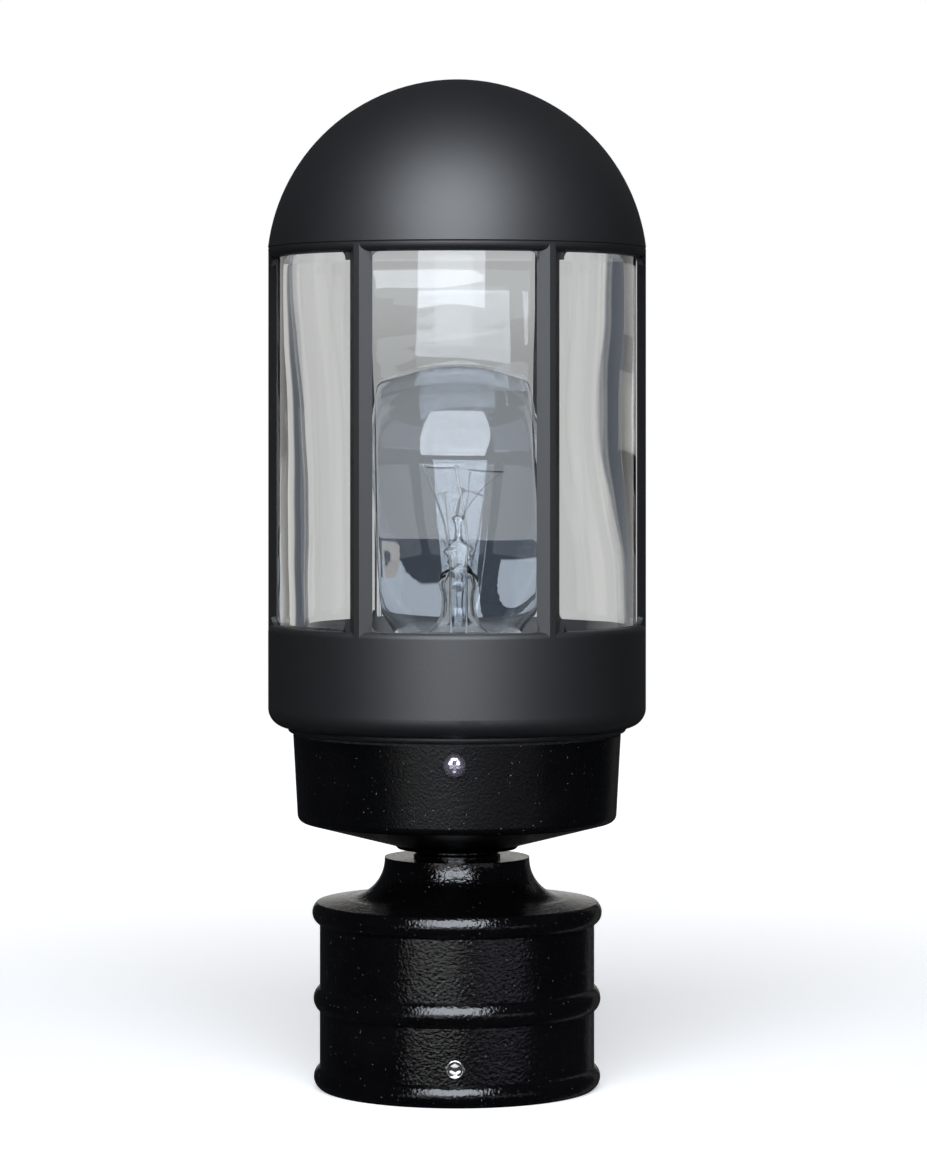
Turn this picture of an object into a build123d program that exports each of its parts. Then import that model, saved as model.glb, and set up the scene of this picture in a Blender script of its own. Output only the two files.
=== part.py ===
from build123d import *
from math import asin, cos, radians, sin, sqrt, tan
import os

# Post top lantern, in millimetres.  The origin is the centre of the collar's bottom rim, where the
# post goes in.  +Z is up, and the window that the post's owner looks into faces -Y.

# ---- The post that the lantern is made for ----
POST_DIAMETER = 76.2
POST_CLEARANCE = 1.0
POST_DEPTH = 53.0

# ---- Post fitter: collar, three beads, shoulder and concave pedestal ----
COLLAR_WALL = 4.9
LOWER_BEAD_HEIGHT = 3.5
LOWER_BEAD_PROUD = 1.9
LOWER_BEAD_HALF = 3.5
MIDDLE_BEAD_HEIGHT = 28.5
MIDDLE_BEAD_PROUD = 2.0
MIDDLE_BEAD_HALF = 3.9
UPPER_BEAD_HEIGHT = 55.7
UPPER_BEAD_PROUD = 2.4
UPPER_BEAD_HALF = 3.5
SHOULDER_EDGE_INSET = 1.5
SHOULDER_RISE = 1.4
FLARE_RADIUS = 12.5
PEDESTAL_RADIUS = 23.2
PEDESTAL_EDGE = 0.5
FITTER_WALL = 4.0
POST_STOP_WIDTH = 4.5
PEDESTAL_HOLLOW_RADIUS = 17.0

# ---- Set screws that grip the post ----
SCREWS_AROUND = 3
FRONT_ANGLE = -90.0
SET_SCREW_HEIGHT = 12.0
SET_SCREW_RADIUS = 3.0
SET_SCREW_PROUD = 0.3
SET_SCREW_TIP_GAP = 0.2
SET_SCREW_SOCKET_RADIUS = 1.75
SET_SCREW_SOCKET_DEPTH = 2.2
SET_SCREW_CHAMFER = 0.4
THREAD_CLEARANCE = 0.08

# ---- Neck ring between pedestal and canopy ----
NECK_RADIUS = 13.9
NECK_HEIGHT = 2.7
NECK_GROOVE_DEPTH = 0.7
NECK_GROOVE_WIDTH = 0.9

# ---- Hollow threaded nipple, its nuts and washers ----
NIPPLE_RADIUS = 5.0
NIPPLE_BORE_RADIUS = 3.4
NIPPLE_FOOT = 3.0
NIPPLE_HOLE_CLEARANCE = 0.2
LOCKNUT_THICKNESS = 4.0
LOCKNUT_FLAT_RADIUS = 7.5
LOCK_WASHER_THICKNESS = 1.2
LOCK_WASHER_RADIUS = 8.0
LOCK_WASHER_GAP = 1.4

# ---- Canopy: cast cup ----
CANOPY_HUB_RADIUS = 19.0
CANOPY_HUB_EDGE = 1.1
CANOPY_CONE_ANGLE = 14.5
CANOPY_CORNER_RADIUS = 2.5
CANOPY_INSIDE_CAGE = 8.0
CANOPY_TAPER = 1.5
CANOPY_RIM_HEIGHT = 36.5
CANOPY_FLOOR = 3.0
CANOPY_RIM_WALL = 3.9
CANOPY_BORE_FILLET = 2.0
CANOPY_GASKET_THICKNESS = 0.8
CANOPY_GASKET_INSET = 0.3

# ---- Canopy screws ----
CANOPY_SCREW_DROP = 6.0
CANOPY_SCREW_RADIUS = 2.0
CANOPY_SCREW_HOLE_CLEARANCE = 0.25
CANOPY_SCREW_HEAD_RADIUS = 3.6
CANOPY_SCREW_HEAD_HEIGHT = 2.4
CANOPY_SCREW_HEAD_LAND = 1.2
CANOPY_SCREW_HEAD_SEAT = 0.05
CROSS_WIDTH = 0.9
CROSS_SPAN = 4.0
CROSS_DEPTH = 1.5
CROSS_TAPER = 8.0

# ---- Bracket with the tapped tabs ----
BRACKET_THICKNESS = 2.0
BRACKET_DISC_RADIUS = 20.0
BRACKET_ARM_WIDTH = 12.0
BRACKET_ARM_LIFT = 0.5
TAB_CLEARANCE = 0.3
TAB_ABOVE_SCREW = 4.5
CANOPY_SCREW_PAST_TAB = 1.5
GROUND_SCREW_RADIUS = 1.9
GROUND_SCREW_HEAD_RADIUS = 4.0
GROUND_SCREW_HEAD_HEIGHT = 2.4
GROUND_SCREW_PAST_BRACKET = 1.4
GROUND_SCREW_OFFSET = 14.5
GROUND_SCREW_CLEARANCE = 0.4
GROUND_SLOT_WIDTH = 1.0

# ---- Cage: spigot, floor, skirt, bars and header in one casting ----
CAGE_RADIUS = 60.5
CAGE_WALL = 2.7
SPIGOT_CLEARANCE = 0.3
SPIGOT_WALL = 2.0
SPIGOT_DEPTH = 14.0
SPIGOT_SLOT_CLEARANCE = 0.4
LIP_STEP = 0.3
LIP_HEIGHT = 1.8
LIP_ROUND = 1.3
SKIRT_CORNER_RADIUS = 6.0
CAGE_FLOOR = 5.4
WINDOWS = 6
SKIRT_HEIGHT = 34.4
SILL_ROUND = 2.0
WINDOW_HEIGHT = 117.3
HEADER_ROUND = 2.6
HEADER_LAND = 0.5
BAR_RIDGE_HALF_WIDTH = 1.0
BAR_FOOT_HALF_WIDTH = 3.9
WINDOW_CORNER_RADIUS = 2.5
WINDOW_CORNER_WEB = 1.7
HEADER_NECK_WALL = 1.1
HEADER_NECK_HEIGHT = 3.0
SEAM_CHAMFER = 0.3

# ---- Dome cap ----
DOME_BULGE = 0.5
DOME_WALL = 2.6
DOME_SEAM_STEP = 0.1
CAP_FIT = 0.25
CAP_RING_WALL = 3.1
CAP_RING_HEIGHT = 6.0

# ---- Glass cylinder and its gaskets ----
GLASS_CLEARANCE = 0.4
GLASS_WALL = 4.6
GLASS_EDGE = 0.6
GLASS_COVER = 1.7
GLASS_GASKET_THICKNESS = 1.2

# ---- Lampholder ----
HOLDER_HUB_RADIUS = 8.0
HOLDER_HUB_HEIGHT = 4.6
HOLDER_CAP_THICKNESS = 2.5
HOLDER_RADIUS = 19.0
HOLDER_EDGE = 1.5
HOLDER_MOUTH_DROP = 4.0
HOLDER_SCREW_OFFSET = 12.5
HOLDER_SCREW_RADIUS = 1.5
HOLDER_SCREW_HEAD_RADIUS = 2.9
HOLDER_SCREW_HEAD_HEIGHT = 1.8
HOLDER_SCREW_DEPTH = 8.0
SCREW_SHELL_RADIUS = 13.4
SCREW_SHELL_WALL = 0.5
SCREW_SHELL_FIT = 0.2
SCREW_SHELL_LIP_DROP = 2.5
SHELL_SEAT_DROP = 2.5
SCREW_SHELL_EYE_RADIUS = 8.5
CONTACT_WELL_RADIUS = 8.0
CONTACT_WELL_DEPTH = 6.0
CONTACT_STRIP_WIDTH = 6.0
CONTACT_STRIP_THICKNESS = 0.8
CONTACT_TONGUE_LENGTH = 7.0
TERMINAL_FACE = 16.0
TERMINAL_POCKET_WIDTH = 10.0
TERMINAL_PLATE_WIDTH = 8.0
TERMINAL_PLATE_THICKNESS = 1.0
TERMINAL_PLATE_DROP = 13.0
TERMINAL_SCREW_RADIUS = 1.8
TERMINAL_SCREW_HEAD_RADIUS = 3.4
TERMINAL_SCREW_HEAD_HEIGHT = 2.0
TERMINAL_SCREW_DROP = 9.0
TERMINAL_SCREW_BITE = 4.0
POCKET_MARGIN = 1.0

# ---- Bulb: 60 mm pear shaped lamp with a 26 mm screw base ----
BULB_RADIUS = 30.15
BULB_LENGTH = 112.5
BULB_GLASS = 0.7
BULB_NECK_RADIUS = 12.4
BULB_NECK_START = 22.0
BULB_THROAT_RADIUS = 14.6
BULB_THROAT_HEIGHT = 34.0
BULB_HIP_RADIUS = 22.5
BULB_HIP_HEIGHT = 53.0
BASE_SHELL_RADIUS = 13.1
BASE_SHELL_WALL = 0.4
BASE_SHELL_TOP = 26.0
BASE_SHELL_FOOT = 5.5
BASE_SHELL_FIT = 0.15
BASE_ABOVE_MOUTH = 1.0
INSULATOR_FOOT_RADIUS = 5.0
INSULATOR_TOP_RADIUS = 10.5
CONTACT_RADIUS = 4.5
CONTACT_HEIGHT = 1.0
STEM_FLARE_RADIUS = 11.2
STEM_RADIUS = 5.4
STEM_FLARE_HEIGHT = 9.0
STEM_WALL = 1.0
PINCH_FOOT = 41.0
PINCH_TOP = 53.0
PINCH_HALF_WIDTH = 5.0
PINCH_HALF_DEPTH = 2.0
STEM_ROD_RADIUS = 1.3
STEM_ROD_LENGTH = 9.0
WIRE_RADIUS = 0.35
WIRE_SEAT_GAP = 0.3
LEAD_SPREAD_FOOT = 3.2
LEAD_SPREAD_TOP = 10.5
SUPPORT_SPREAD_TOP = 3.6
FILAMENT_HEIGHT = 79.0
FILAMENT_RADIUS = 0.5

# ---- Heights and radii that follow from the sizes above ----
BORE_RADIUS = POST_DIAMETER / 2 + POST_CLEARANCE
COLLAR_RADIUS = BORE_RADIUS + COLLAR_WALL
LOWER_BEAD_RADIUS = COLLAR_RADIUS + LOWER_BEAD_PROUD
MIDDLE_BEAD_RADIUS = COLLAR_RADIUS + MIDDLE_BEAD_PROUD
UPPER_BEAD_RADIUS = COLLAR_RADIUS + UPPER_BEAD_PROUD
SHOULDER_Z = UPPER_BEAD_HEIGHT + UPPER_BEAD_HALF
FLARE_START_RADIUS = PEDESTAL_RADIUS + FLARE_RADIUS
FLARE_Z = SHOULDER_Z + SHOULDER_RISE
PEDESTAL_Z = FLARE_Z + FLARE_RADIUS + PEDESTAL_EDGE
PEDESTAL_CEILING = PEDESTAL_Z - FITTER_WALL
CANOPY_Z = PEDESTAL_Z + NECK_HEIGHT
CANOPY_RIM_RADIUS = CAGE_RADIUS - CANOPY_INSIDE_CAGE
CANOPY_FOOT_RADIUS = CANOPY_RIM_RADIUS - CANOPY_TAPER
CANOPY_BORE_RADIUS = CANOPY_RIM_RADIUS - CANOPY_RIM_WALL
CONE_SLOPE = tan(radians(CANOPY_CONE_ANGLE))
CONE_START_RADIUS = CANOPY_HUB_RADIUS + CANOPY_HUB_EDGE
CONE_START_Z = CANOPY_Z + CANOPY_HUB_EDGE
CANOPY_RIM_Z = CANOPY_Z + CANOPY_RIM_HEIGHT
CONE_END_Z = CONE_START_Z + CONE_SLOPE * (CANOPY_FOOT_RADIUS - CONE_START_RADIUS)
CANOPY_FLOOR_Z = CONE_START_Z + CANOPY_FLOOR
CANOPY_SCREW_Z = CANOPY_RIM_Z - CANOPY_SCREW_DROP
BRACKET_TOP_Z = CANOPY_FLOOR_Z + BRACKET_THICKNESS
UPPER_NUT_Z = BRACKET_TOP_Z + LOCK_WASHER_THICKNESS
HOLDER_HUB_Z = UPPER_NUT_Z + LOCKNUT_THICKNESS
HOLDER_CAP_Z = HOLDER_HUB_Z + HOLDER_HUB_HEIGHT
HOLDER_Z = HOLDER_CAP_Z + HOLDER_CAP_THICKNESS
LOWER_WASHER_Z = PEDESTAL_CEILING - LOCK_WASHER_THICKNESS
LOWER_NUT_Z = LOWER_WASHER_Z - LOCKNUT_THICKNESS
CAGE_Z = CANOPY_RIM_Z + CANOPY_GASKET_THICKNESS
CAGE_FLOOR_Z = CAGE_Z + CAGE_FLOOR
CAGE_BORE_RADIUS = CAGE_RADIUS - CAGE_WALL
SPIGOT_RADIUS = CANOPY_BORE_RADIUS - SPIGOT_CLEARANCE
SPIGOT_BORE_RADIUS = SPIGOT_RADIUS - SPIGOT_WALL
LIP_RADIUS = CAGE_RADIUS - SKIRT_CORNER_RADIUS - LIP_STEP
SILL_Z = CAGE_Z + SKIRT_HEIGHT
HEADER_Z = SILL_Z + WINDOW_HEIGHT
SEAM_Z = HEADER_Z + HEADER_ROUND + HEADER_LAND
DOME_SEAM_RADIUS = CAGE_RADIUS + DOME_SEAM_STEP
DOME_RADIUS = CAGE_RADIUS + DOME_BULGE
DOME_CENTRE_Z = SEAM_Z - sqrt(DOME_RADIUS**2 - DOME_SEAM_RADIUS**2)
GLASS_RADIUS = CAGE_BORE_RADIUS - GLASS_CLEARANCE
GLASS_BORE_RADIUS = GLASS_RADIUS - GLASS_WALL
GLASS_Z = CAGE_FLOOR_Z + GLASS_GASKET_THICKNESS
GLASS_TOP_Z = HEADER_Z + GLASS_COVER
CAP_RING_Z = GLASS_TOP_Z + GLASS_GASKET_THICKNESS
HOLDER_MOUTH_Z = SILL_Z - HOLDER_MOUTH_DROP
SCREW_SHELL_TOP_Z = HOLDER_MOUTH_Z - SCREW_SHELL_LIP_DROP
BULB_Z = HOLDER_MOUTH_Z + BASE_ABOVE_MOUTH - BASE_SHELL_TOP
SHELL_SEAT_Z = BULB_Z - SHELL_SEAT_DROP
CONTACT_WELL_Z = SHELL_SEAT_Z - CONTACT_WELL_DEPTH
SCREW_ANGLES = [FRONT_ANGLE + 360 / SCREWS_AROUND * index for index in range(SCREWS_AROUND)]


# ---- Ways of making that several pieces share ----
def lathe(*lines):
    """Turn a closed outline, drawn as radius and height, round the lantern's axis."""
    return revolve(Plane.XZ * make_face(Curve() + list(lines)), Axis.Z)


def turned(*points):
    """Turn a straight sided outline round the lantern's axis."""
    return lathe(Polyline(*points, close=True))


def tube(outer, bore, foot, top):
    return turned((bore, foot), (outer, foot), (outer, top), (bore, top))


def rod(radius, foot, top):
    return Pos(0, 0, foot) * Cylinder(radius, top - foot, align=(Align.CENTER, Align.CENTER, Align.MIN))


def block(width, depth, foot, top):
    return Pos(0, 0, foot) * Box(width, depth, top - foot, align=(Align.CENTER, Align.CENTER, Align.MIN))


def outward(shape, height, angle):
    """Lay a piece that stands on the axis so that it points outwards at a height and an angle."""
    return Rot(0, 0, angle) * Pos(0, 0, height) * Rot(0, 90, 0) * shape


def canopy_radius(height):
    """Outer radius of the canopy's tapered wall."""
    share = (height - CONE_END_Z) / (CANOPY_RIM_Z - CONE_END_Z)
    return CANOPY_FOOT_RADIUS + (CANOPY_RIM_RADIUS - CANOPY_FOOT_RADIUS) * share


# ---- Post fitter ----
def make_post_fitter():
    lower_bead = ThreePointArc(
        (COLLAR_RADIUS, LOWER_BEAD_HEIGHT - LOWER_BEAD_HALF),
        (LOWER_BEAD_RADIUS, LOWER_BEAD_HEIGHT),
        (COLLAR_RADIUS, LOWER_BEAD_HEIGHT + LOWER_BEAD_HALF),
    )
    middle_bead = ThreePointArc(
        (COLLAR_RADIUS, MIDDLE_BEAD_HEIGHT - MIDDLE_BEAD_HALF),
        (MIDDLE_BEAD_RADIUS, MIDDLE_BEAD_HEIGHT),
        (COLLAR_RADIUS, MIDDLE_BEAD_HEIGHT + MIDDLE_BEAD_HALF),
    )
    shoulder_edge = (UPPER_BEAD_RADIUS - SHOULDER_EDGE_INSET, SHOULDER_Z)
    upper_bead = ThreePointArc(
        (COLLAR_RADIUS, UPPER_BEAD_HEIGHT - UPPER_BEAD_HALF),
        (UPPER_BEAD_RADIUS, UPPER_BEAD_HEIGHT),
        shoulder_edge,
    )
    flare_start = (FLARE_START_RADIUS, FLARE_Z)
    flare_end = (PEDESTAL_RADIUS, FLARE_Z + FLARE_RADIUS)
    flare_inset = FLARE_RADIUS * (1 - cos(radians(45)))
    flare_middle = (PEDESTAL_RADIUS + flare_inset, FLARE_Z + flare_inset)
    nipple_hole = NIPPLE_RADIUS + NIPPLE_HOLE_CLEARANCE
    stop_radius = BORE_RADIUS - POST_STOP_WIDTH
    ceiling_step = FLARE_Z - FITTER_WALL
    inside = Polyline(
        (PEDESTAL_RADIUS, FLARE_Z + FLARE_RADIUS),
        (PEDESTAL_RADIUS, PEDESTAL_Z),
        (nipple_hole, PEDESTAL_Z),
        (nipple_hole, PEDESTAL_CEILING),
        (PEDESTAL_HOLLOW_RADIUS, PEDESTAL_CEILING),
        (PEDESTAL_HOLLOW_RADIUS, FLARE_Z),
        (stop_radius, ceiling_step),
        (stop_radius, POST_DEPTH),
        (BORE_RADIUS, POST_DEPTH),
        (BORE_RADIUS, 0),
        (COLLAR_RADIUS, LOWER_BEAD_HEIGHT - LOWER_BEAD_HALF),
    )
    body = lathe(
        lower_bead,
        Line(lower_bead @ 1, middle_bead @ 0),
        middle_bead,
        Line(middle_bead @ 1, upper_bead @ 0),
        upper_bead,
        Line(shoulder_edge, flare_start),
        ThreePointArc(flare_start, flare_middle, flare_end),
        inside,
    )
    hole = rod(SET_SCREW_RADIUS + THREAD_CLEARANCE, BORE_RADIUS - POST_CLEARANCE, UPPER_BEAD_RADIUS)
    for angle in SCREW_ANGLES:
        body -= outward(hole, SET_SCREW_HEIGHT, angle)
    return body


def make_set_screw(angle):
    tip = BORE_RADIUS + SET_SCREW_TIP_GAP
    outer_end = COLLAR_RADIUS + SET_SCREW_PROUD
    screw = turned(
        (0, tip + SET_SCREW_CHAMFER),
        (SET_SCREW_RADIUS / 2, tip),
        (SET_SCREW_RADIUS - SET_SCREW_CHAMFER, tip),
        (SET_SCREW_RADIUS, tip + SET_SCREW_CHAMFER),
        (SET_SCREW_RADIUS, outer_end - SET_SCREW_CHAMFER),
        (SET_SCREW_RADIUS - SET_SCREW_CHAMFER, outer_end),
        (0, outer_end),
    )
    socket = extrude(RegularPolygon(SET_SCREW_SOCKET_RADIUS, 6), SET_SCREW_SOCKET_DEPTH)
    screw -= Pos(0, 0, outer_end - SET_SCREW_SOCKET_DEPTH) * socket
    return outward(screw, SET_SCREW_HEIGHT, angle)


# ---- Neck: ring, nipple, nuts and washers ----
def make_neck_ring():
    middle = (PEDESTAL_Z + CANOPY_Z) / 2
    groove = NECK_RADIUS - NECK_GROOVE_DEPTH
    return turned(
        (NIPPLE_RADIUS + NIPPLE_HOLE_CLEARANCE, PEDESTAL_Z),
        (NECK_RADIUS, PEDESTAL_Z),
        (NECK_RADIUS, middle - NECK_GROOVE_WIDTH / 2),
        (groove, middle),
        (NECK_RADIUS, middle + NECK_GROOVE_WIDTH / 2),
        (NECK_RADIUS, CANOPY_Z),
        (NIPPLE_RADIUS + NIPPLE_HOLE_CLEARANCE, CANOPY_Z),
    )


def make_nipple():
    top = HOLDER_CAP_Z + HOLDER_CAP_THICKNESS / 2
    return tube(NIPPLE_RADIUS, NIPPLE_BORE_RADIUS, LOWER_NUT_Z - NIPPLE_FOOT, top)


def make_locknut(foot):
    """Thin hexagon nut on the nipple."""
    corner_radius = LOCKNUT_FLAT_RADIUS / cos(radians(30))
    nut = Pos(0, 0, foot) * extrude(RegularPolygon(corner_radius, 6), LOCKNUT_THICKNESS)
    return nut - rod(NIPPLE_RADIUS + THREAD_CLEARANCE, foot, foot + LOCKNUT_THICKNESS)


def make_lock_washer(foot):
    """Split spring washer, drawn flat as it is when the nut is tight."""
    top = foot + LOCK_WASHER_THICKNESS
    washer = tube(LOCK_WASHER_RADIUS, NIPPLE_RADIUS + NIPPLE_HOLE_CLEARANCE, foot, top)
    gap = Pos(LOCK_WASHER_RADIUS, 0, 0) * block(2 * LOCK_WASHER_RADIUS, LOCK_WASHER_GAP, foot, top)
    return washer - gap


# ---- Canopy and its screws ----
def make_canopy():
    corner = CANOPY_CORNER_RADIUS
    hub_edge = (CANOPY_HUB_RADIUS, CANOPY_Z)
    cone_start = (CONE_START_RADIUS, CONE_START_Z)
    cone_end = (CANOPY_FOOT_RADIUS, CONE_END_Z)
    rim = (CANOPY_RIM_RADIUS, CANOPY_RIM_Z)
    outer = turned((0, CANOPY_Z), hub_edge, cone_start, cone_end, rim, (0, CANOPY_RIM_Z))
    foot_edge = outer.edges().filter_by(GeomType.CIRCLE).group_by(SortBy.RADIUS)[-2]
    outer = fillet(foot_edge, corner)
    floor_end_z = CANOPY_FLOOR_Z + CONE_SLOPE * (CANOPY_BORE_RADIUS - CONE_START_RADIUS)
    hollow = turned(
        (0, CANOPY_FLOOR_Z),
        (CONE_START_RADIUS, CANOPY_FLOOR_Z),
        (CANOPY_BORE_RADIUS, floor_end_z),
        (CANOPY_BORE_RADIUS, CANOPY_RIM_Z + CANOPY_RIM_HEIGHT),
        (0, CANOPY_RIM_Z + CANOPY_RIM_HEIGHT),
    )
    bore_foot = hollow.edges().filter_by(GeomType.CIRCLE).group_by(SortBy.RADIUS)[-1].sort_by(Axis.Z)[0]
    hollow = fillet(bore_foot, CANOPY_BORE_FILLET)
    body = outer - hollow
    body -= rod(NIPPLE_RADIUS + NIPPLE_HOLE_CLEARANCE, CANOPY_Z, CANOPY_FLOOR_Z)
    hole = rod(CANOPY_SCREW_RADIUS + CANOPY_SCREW_HOLE_CLEARANCE, SPIGOT_RADIUS, CANOPY_RIM_RADIUS)
    for angle in SCREW_ANGLES:
        body -= outward(hole, CANOPY_SCREW_Z, angle)
    pocket_foot = BRACKET_TOP_Z - BRACKET_THICKNESS - GROUND_SCREW_PAST_BRACKET - GROUND_SCREW_CLEARANCE
    pocket = rod(GROUND_SCREW_RADIUS + GROUND_SCREW_CLEARANCE, pocket_foot, BRACKET_TOP_Z)
    return body - Pos(0, GROUND_SCREW_OFFSET, 0) * pocket


def make_canopy_gasket():
    outer = CANOPY_RIM_RADIUS - CANOPY_GASKET_INSET
    bore = CANOPY_BORE_RADIUS + CANOPY_GASKET_INSET
    return tube(outer, bore, CANOPY_RIM_Z, CAGE_Z)


def crown_arc(edge_radius, edge_z, crown_z):
    """Arc from a screw head's edge to its crown, level at the crown."""
    rise = crown_z - edge_z
    radius = (edge_radius**2 + rise**2) / (2 * rise)
    half = asin(edge_radius / radius) / 2
    middle = (radius * sin(half), crown_z - radius * (1 - cos(half)))
    return ThreePointArc((edge_radius, edge_z), middle, (0, crown_z))


def cross_recess(top):
    """Tapered cross that a screwdriver fits."""
    arm = Rectangle(CROSS_SPAN, CROSS_WIDTH)
    cross = arm + Rot(0, 0, 90) * arm
    return Pos(0, 0, top) * Rot(180, 0, 0) * extrude(cross, CROSS_DEPTH, taper=CROSS_TAPER)


def make_canopy_screw(angle):
    """Pan head screw through the canopy wall and the cage's slot into the bracket's tab."""
    seat = canopy_radius(CANOPY_SCREW_Z + CANOPY_SCREW_HEAD_RADIUS) + CANOPY_SCREW_HEAD_SEAT
    crown = seat + CANOPY_SCREW_HEAD_HEIGHT
    land = seat + CANOPY_SCREW_HEAD_LAND
    tip = tab_face() - BRACKET_THICKNESS - CANOPY_SCREW_PAST_TAB
    screw = lathe(
        Polyline(
            (0, crown),
            (0, tip),
            (CANOPY_SCREW_RADIUS, tip),
            (CANOPY_SCREW_RADIUS, seat),
            (CANOPY_SCREW_HEAD_RADIUS, seat),
            (CANOPY_SCREW_HEAD_RADIUS, land),
        ),
        crown_arc(CANOPY_SCREW_HEAD_RADIUS, land, crown),
    )
    return outward(screw - cross_recess(crown), CANOPY_SCREW_Z, angle)


# ---- Bracket with the tapped tabs, and the ground screw ----
def tab_face():
    """Distance from the axis to a flat tab whose corners stay inside the cage's spigot."""
    return sqrt((SPIGOT_BORE_RADIUS - TAB_CLEARANCE) ** 2 - (BRACKET_ARM_WIDTH / 2) ** 2)


def make_screw_bracket():
    face = tab_face()
    heel_z = CANOPY_FLOOR_Z + CONE_SLOPE * (face - CONE_START_RADIUS) + BRACKET_ARM_LIFT
    tab_top = CANOPY_SCREW_Z + TAB_ABOVE_SCREW
    inner_face = face - BRACKET_THICKNESS
    arm_start = BRACKET_DISC_RADIUS / 2
    bend = sqrt(BRACKET_DISC_RADIUS**2 - (BRACKET_ARM_WIDTH / 2) ** 2)
    side = Polyline(
        (arm_start, CANOPY_FLOOR_Z),
        (bend, CANOPY_FLOOR_Z),
        (face, heel_z),
        (face, tab_top),
        (inner_face, tab_top),
        (inner_face, heel_z + BRACKET_THICKNESS),
        (bend, BRACKET_TOP_Z),
        (arm_start, BRACKET_TOP_Z),
        close=True,
    )
    arm = extrude(Plane.XZ * make_face(side), BRACKET_ARM_WIDTH / 2, both=True)
    body = rod(BRACKET_DISC_RADIUS, CANOPY_FLOOR_Z, BRACKET_TOP_Z)
    hole = rod(CANOPY_SCREW_RADIUS + THREAD_CLEARANCE, inner_face, face)
    for angle in SCREW_ANGLES:
        body += Rot(0, 0, angle) * arm
    for angle in SCREW_ANGLES:
        body -= outward(hole, CANOPY_SCREW_Z, angle)
    body -= rod(NIPPLE_RADIUS + NIPPLE_HOLE_CLEARANCE, CANOPY_FLOOR_Z, BRACKET_TOP_Z)
    ground_hole = rod(GROUND_SCREW_RADIUS + THREAD_CLEARANCE, CANOPY_FLOOR_Z, BRACKET_TOP_Z)
    return body - Pos(0, GROUND_SCREW_OFFSET, 0) * ground_hole


def make_ground_screw():
    """Hexagon head screw with a slot, for the earth wire."""
    tip = CANOPY_FLOOR_Z - GROUND_SCREW_PAST_BRACKET
    crown = BRACKET_TOP_Z + GROUND_SCREW_HEAD_HEIGHT
    head = extrude(RegularPolygon(GROUND_SCREW_HEAD_RADIUS, 6), GROUND_SCREW_HEAD_HEIGHT)
    screw = rod(GROUND_SCREW_RADIUS, tip, BRACKET_TOP_Z) + Pos(0, 0, BRACKET_TOP_Z) * head
    screw -= block(2 * GROUND_SCREW_HEAD_RADIUS, GROUND_SLOT_WIDTH, crown - GROUND_SLOT_WIDTH, crown)
    return Pos(0, GROUND_SCREW_OFFSET, 0) * screw


# ---- Lampholder ----
def make_lampholder_cap():
    """Turned metal cap that screws onto the nipple and carries the porcelain."""
    body = turned(
        (NIPPLE_RADIUS + THREAD_CLEARANCE, HOLDER_HUB_Z),
        (HOLDER_HUB_RADIUS, HOLDER_HUB_Z),
        (HOLDER_HUB_RADIUS, HOLDER_CAP_Z),
        (HOLDER_RADIUS, HOLDER_CAP_Z),
        (HOLDER_RADIUS, HOLDER_Z),
        (NIPPLE_RADIUS + THREAD_CLEARANCE, HOLDER_Z),
    )
    hole = rod(HOLDER_SCREW_RADIUS + THREAD_CLEARANCE, HOLDER_CAP_Z, HOLDER_Z)
    for side in (-1, 1):
        body -= Pos(0, side * HOLDER_SCREW_OFFSET, 0) * hole
    return body


def make_lampholder_screws():
    screw = rod(HOLDER_SCREW_HEAD_RADIUS, HOLDER_CAP_Z - HOLDER_SCREW_HEAD_HEIGHT, HOLDER_CAP_Z)
    screw += rod(HOLDER_SCREW_RADIUS, HOLDER_CAP_Z, HOLDER_Z + HOLDER_SCREW_DEPTH)
    return [Pos(0, side * HOLDER_SCREW_OFFSET, 0) * screw for side in (-1, 1)]


def terminal_heights(side):
    """Foot, top and screw height of the terminal plate: +1 is the live side, -1 the neutral side."""
    strip_top = CONTACT_WELL_Z + CONTACT_STRIP_THICKNESS if side > 0 else SHELL_SEAT_Z + SCREW_SHELL_WALL
    top = strip_top + POCKET_MARGIN
    return top - TERMINAL_PLATE_DROP, top, top - TERMINAL_SCREW_DROP


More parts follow.
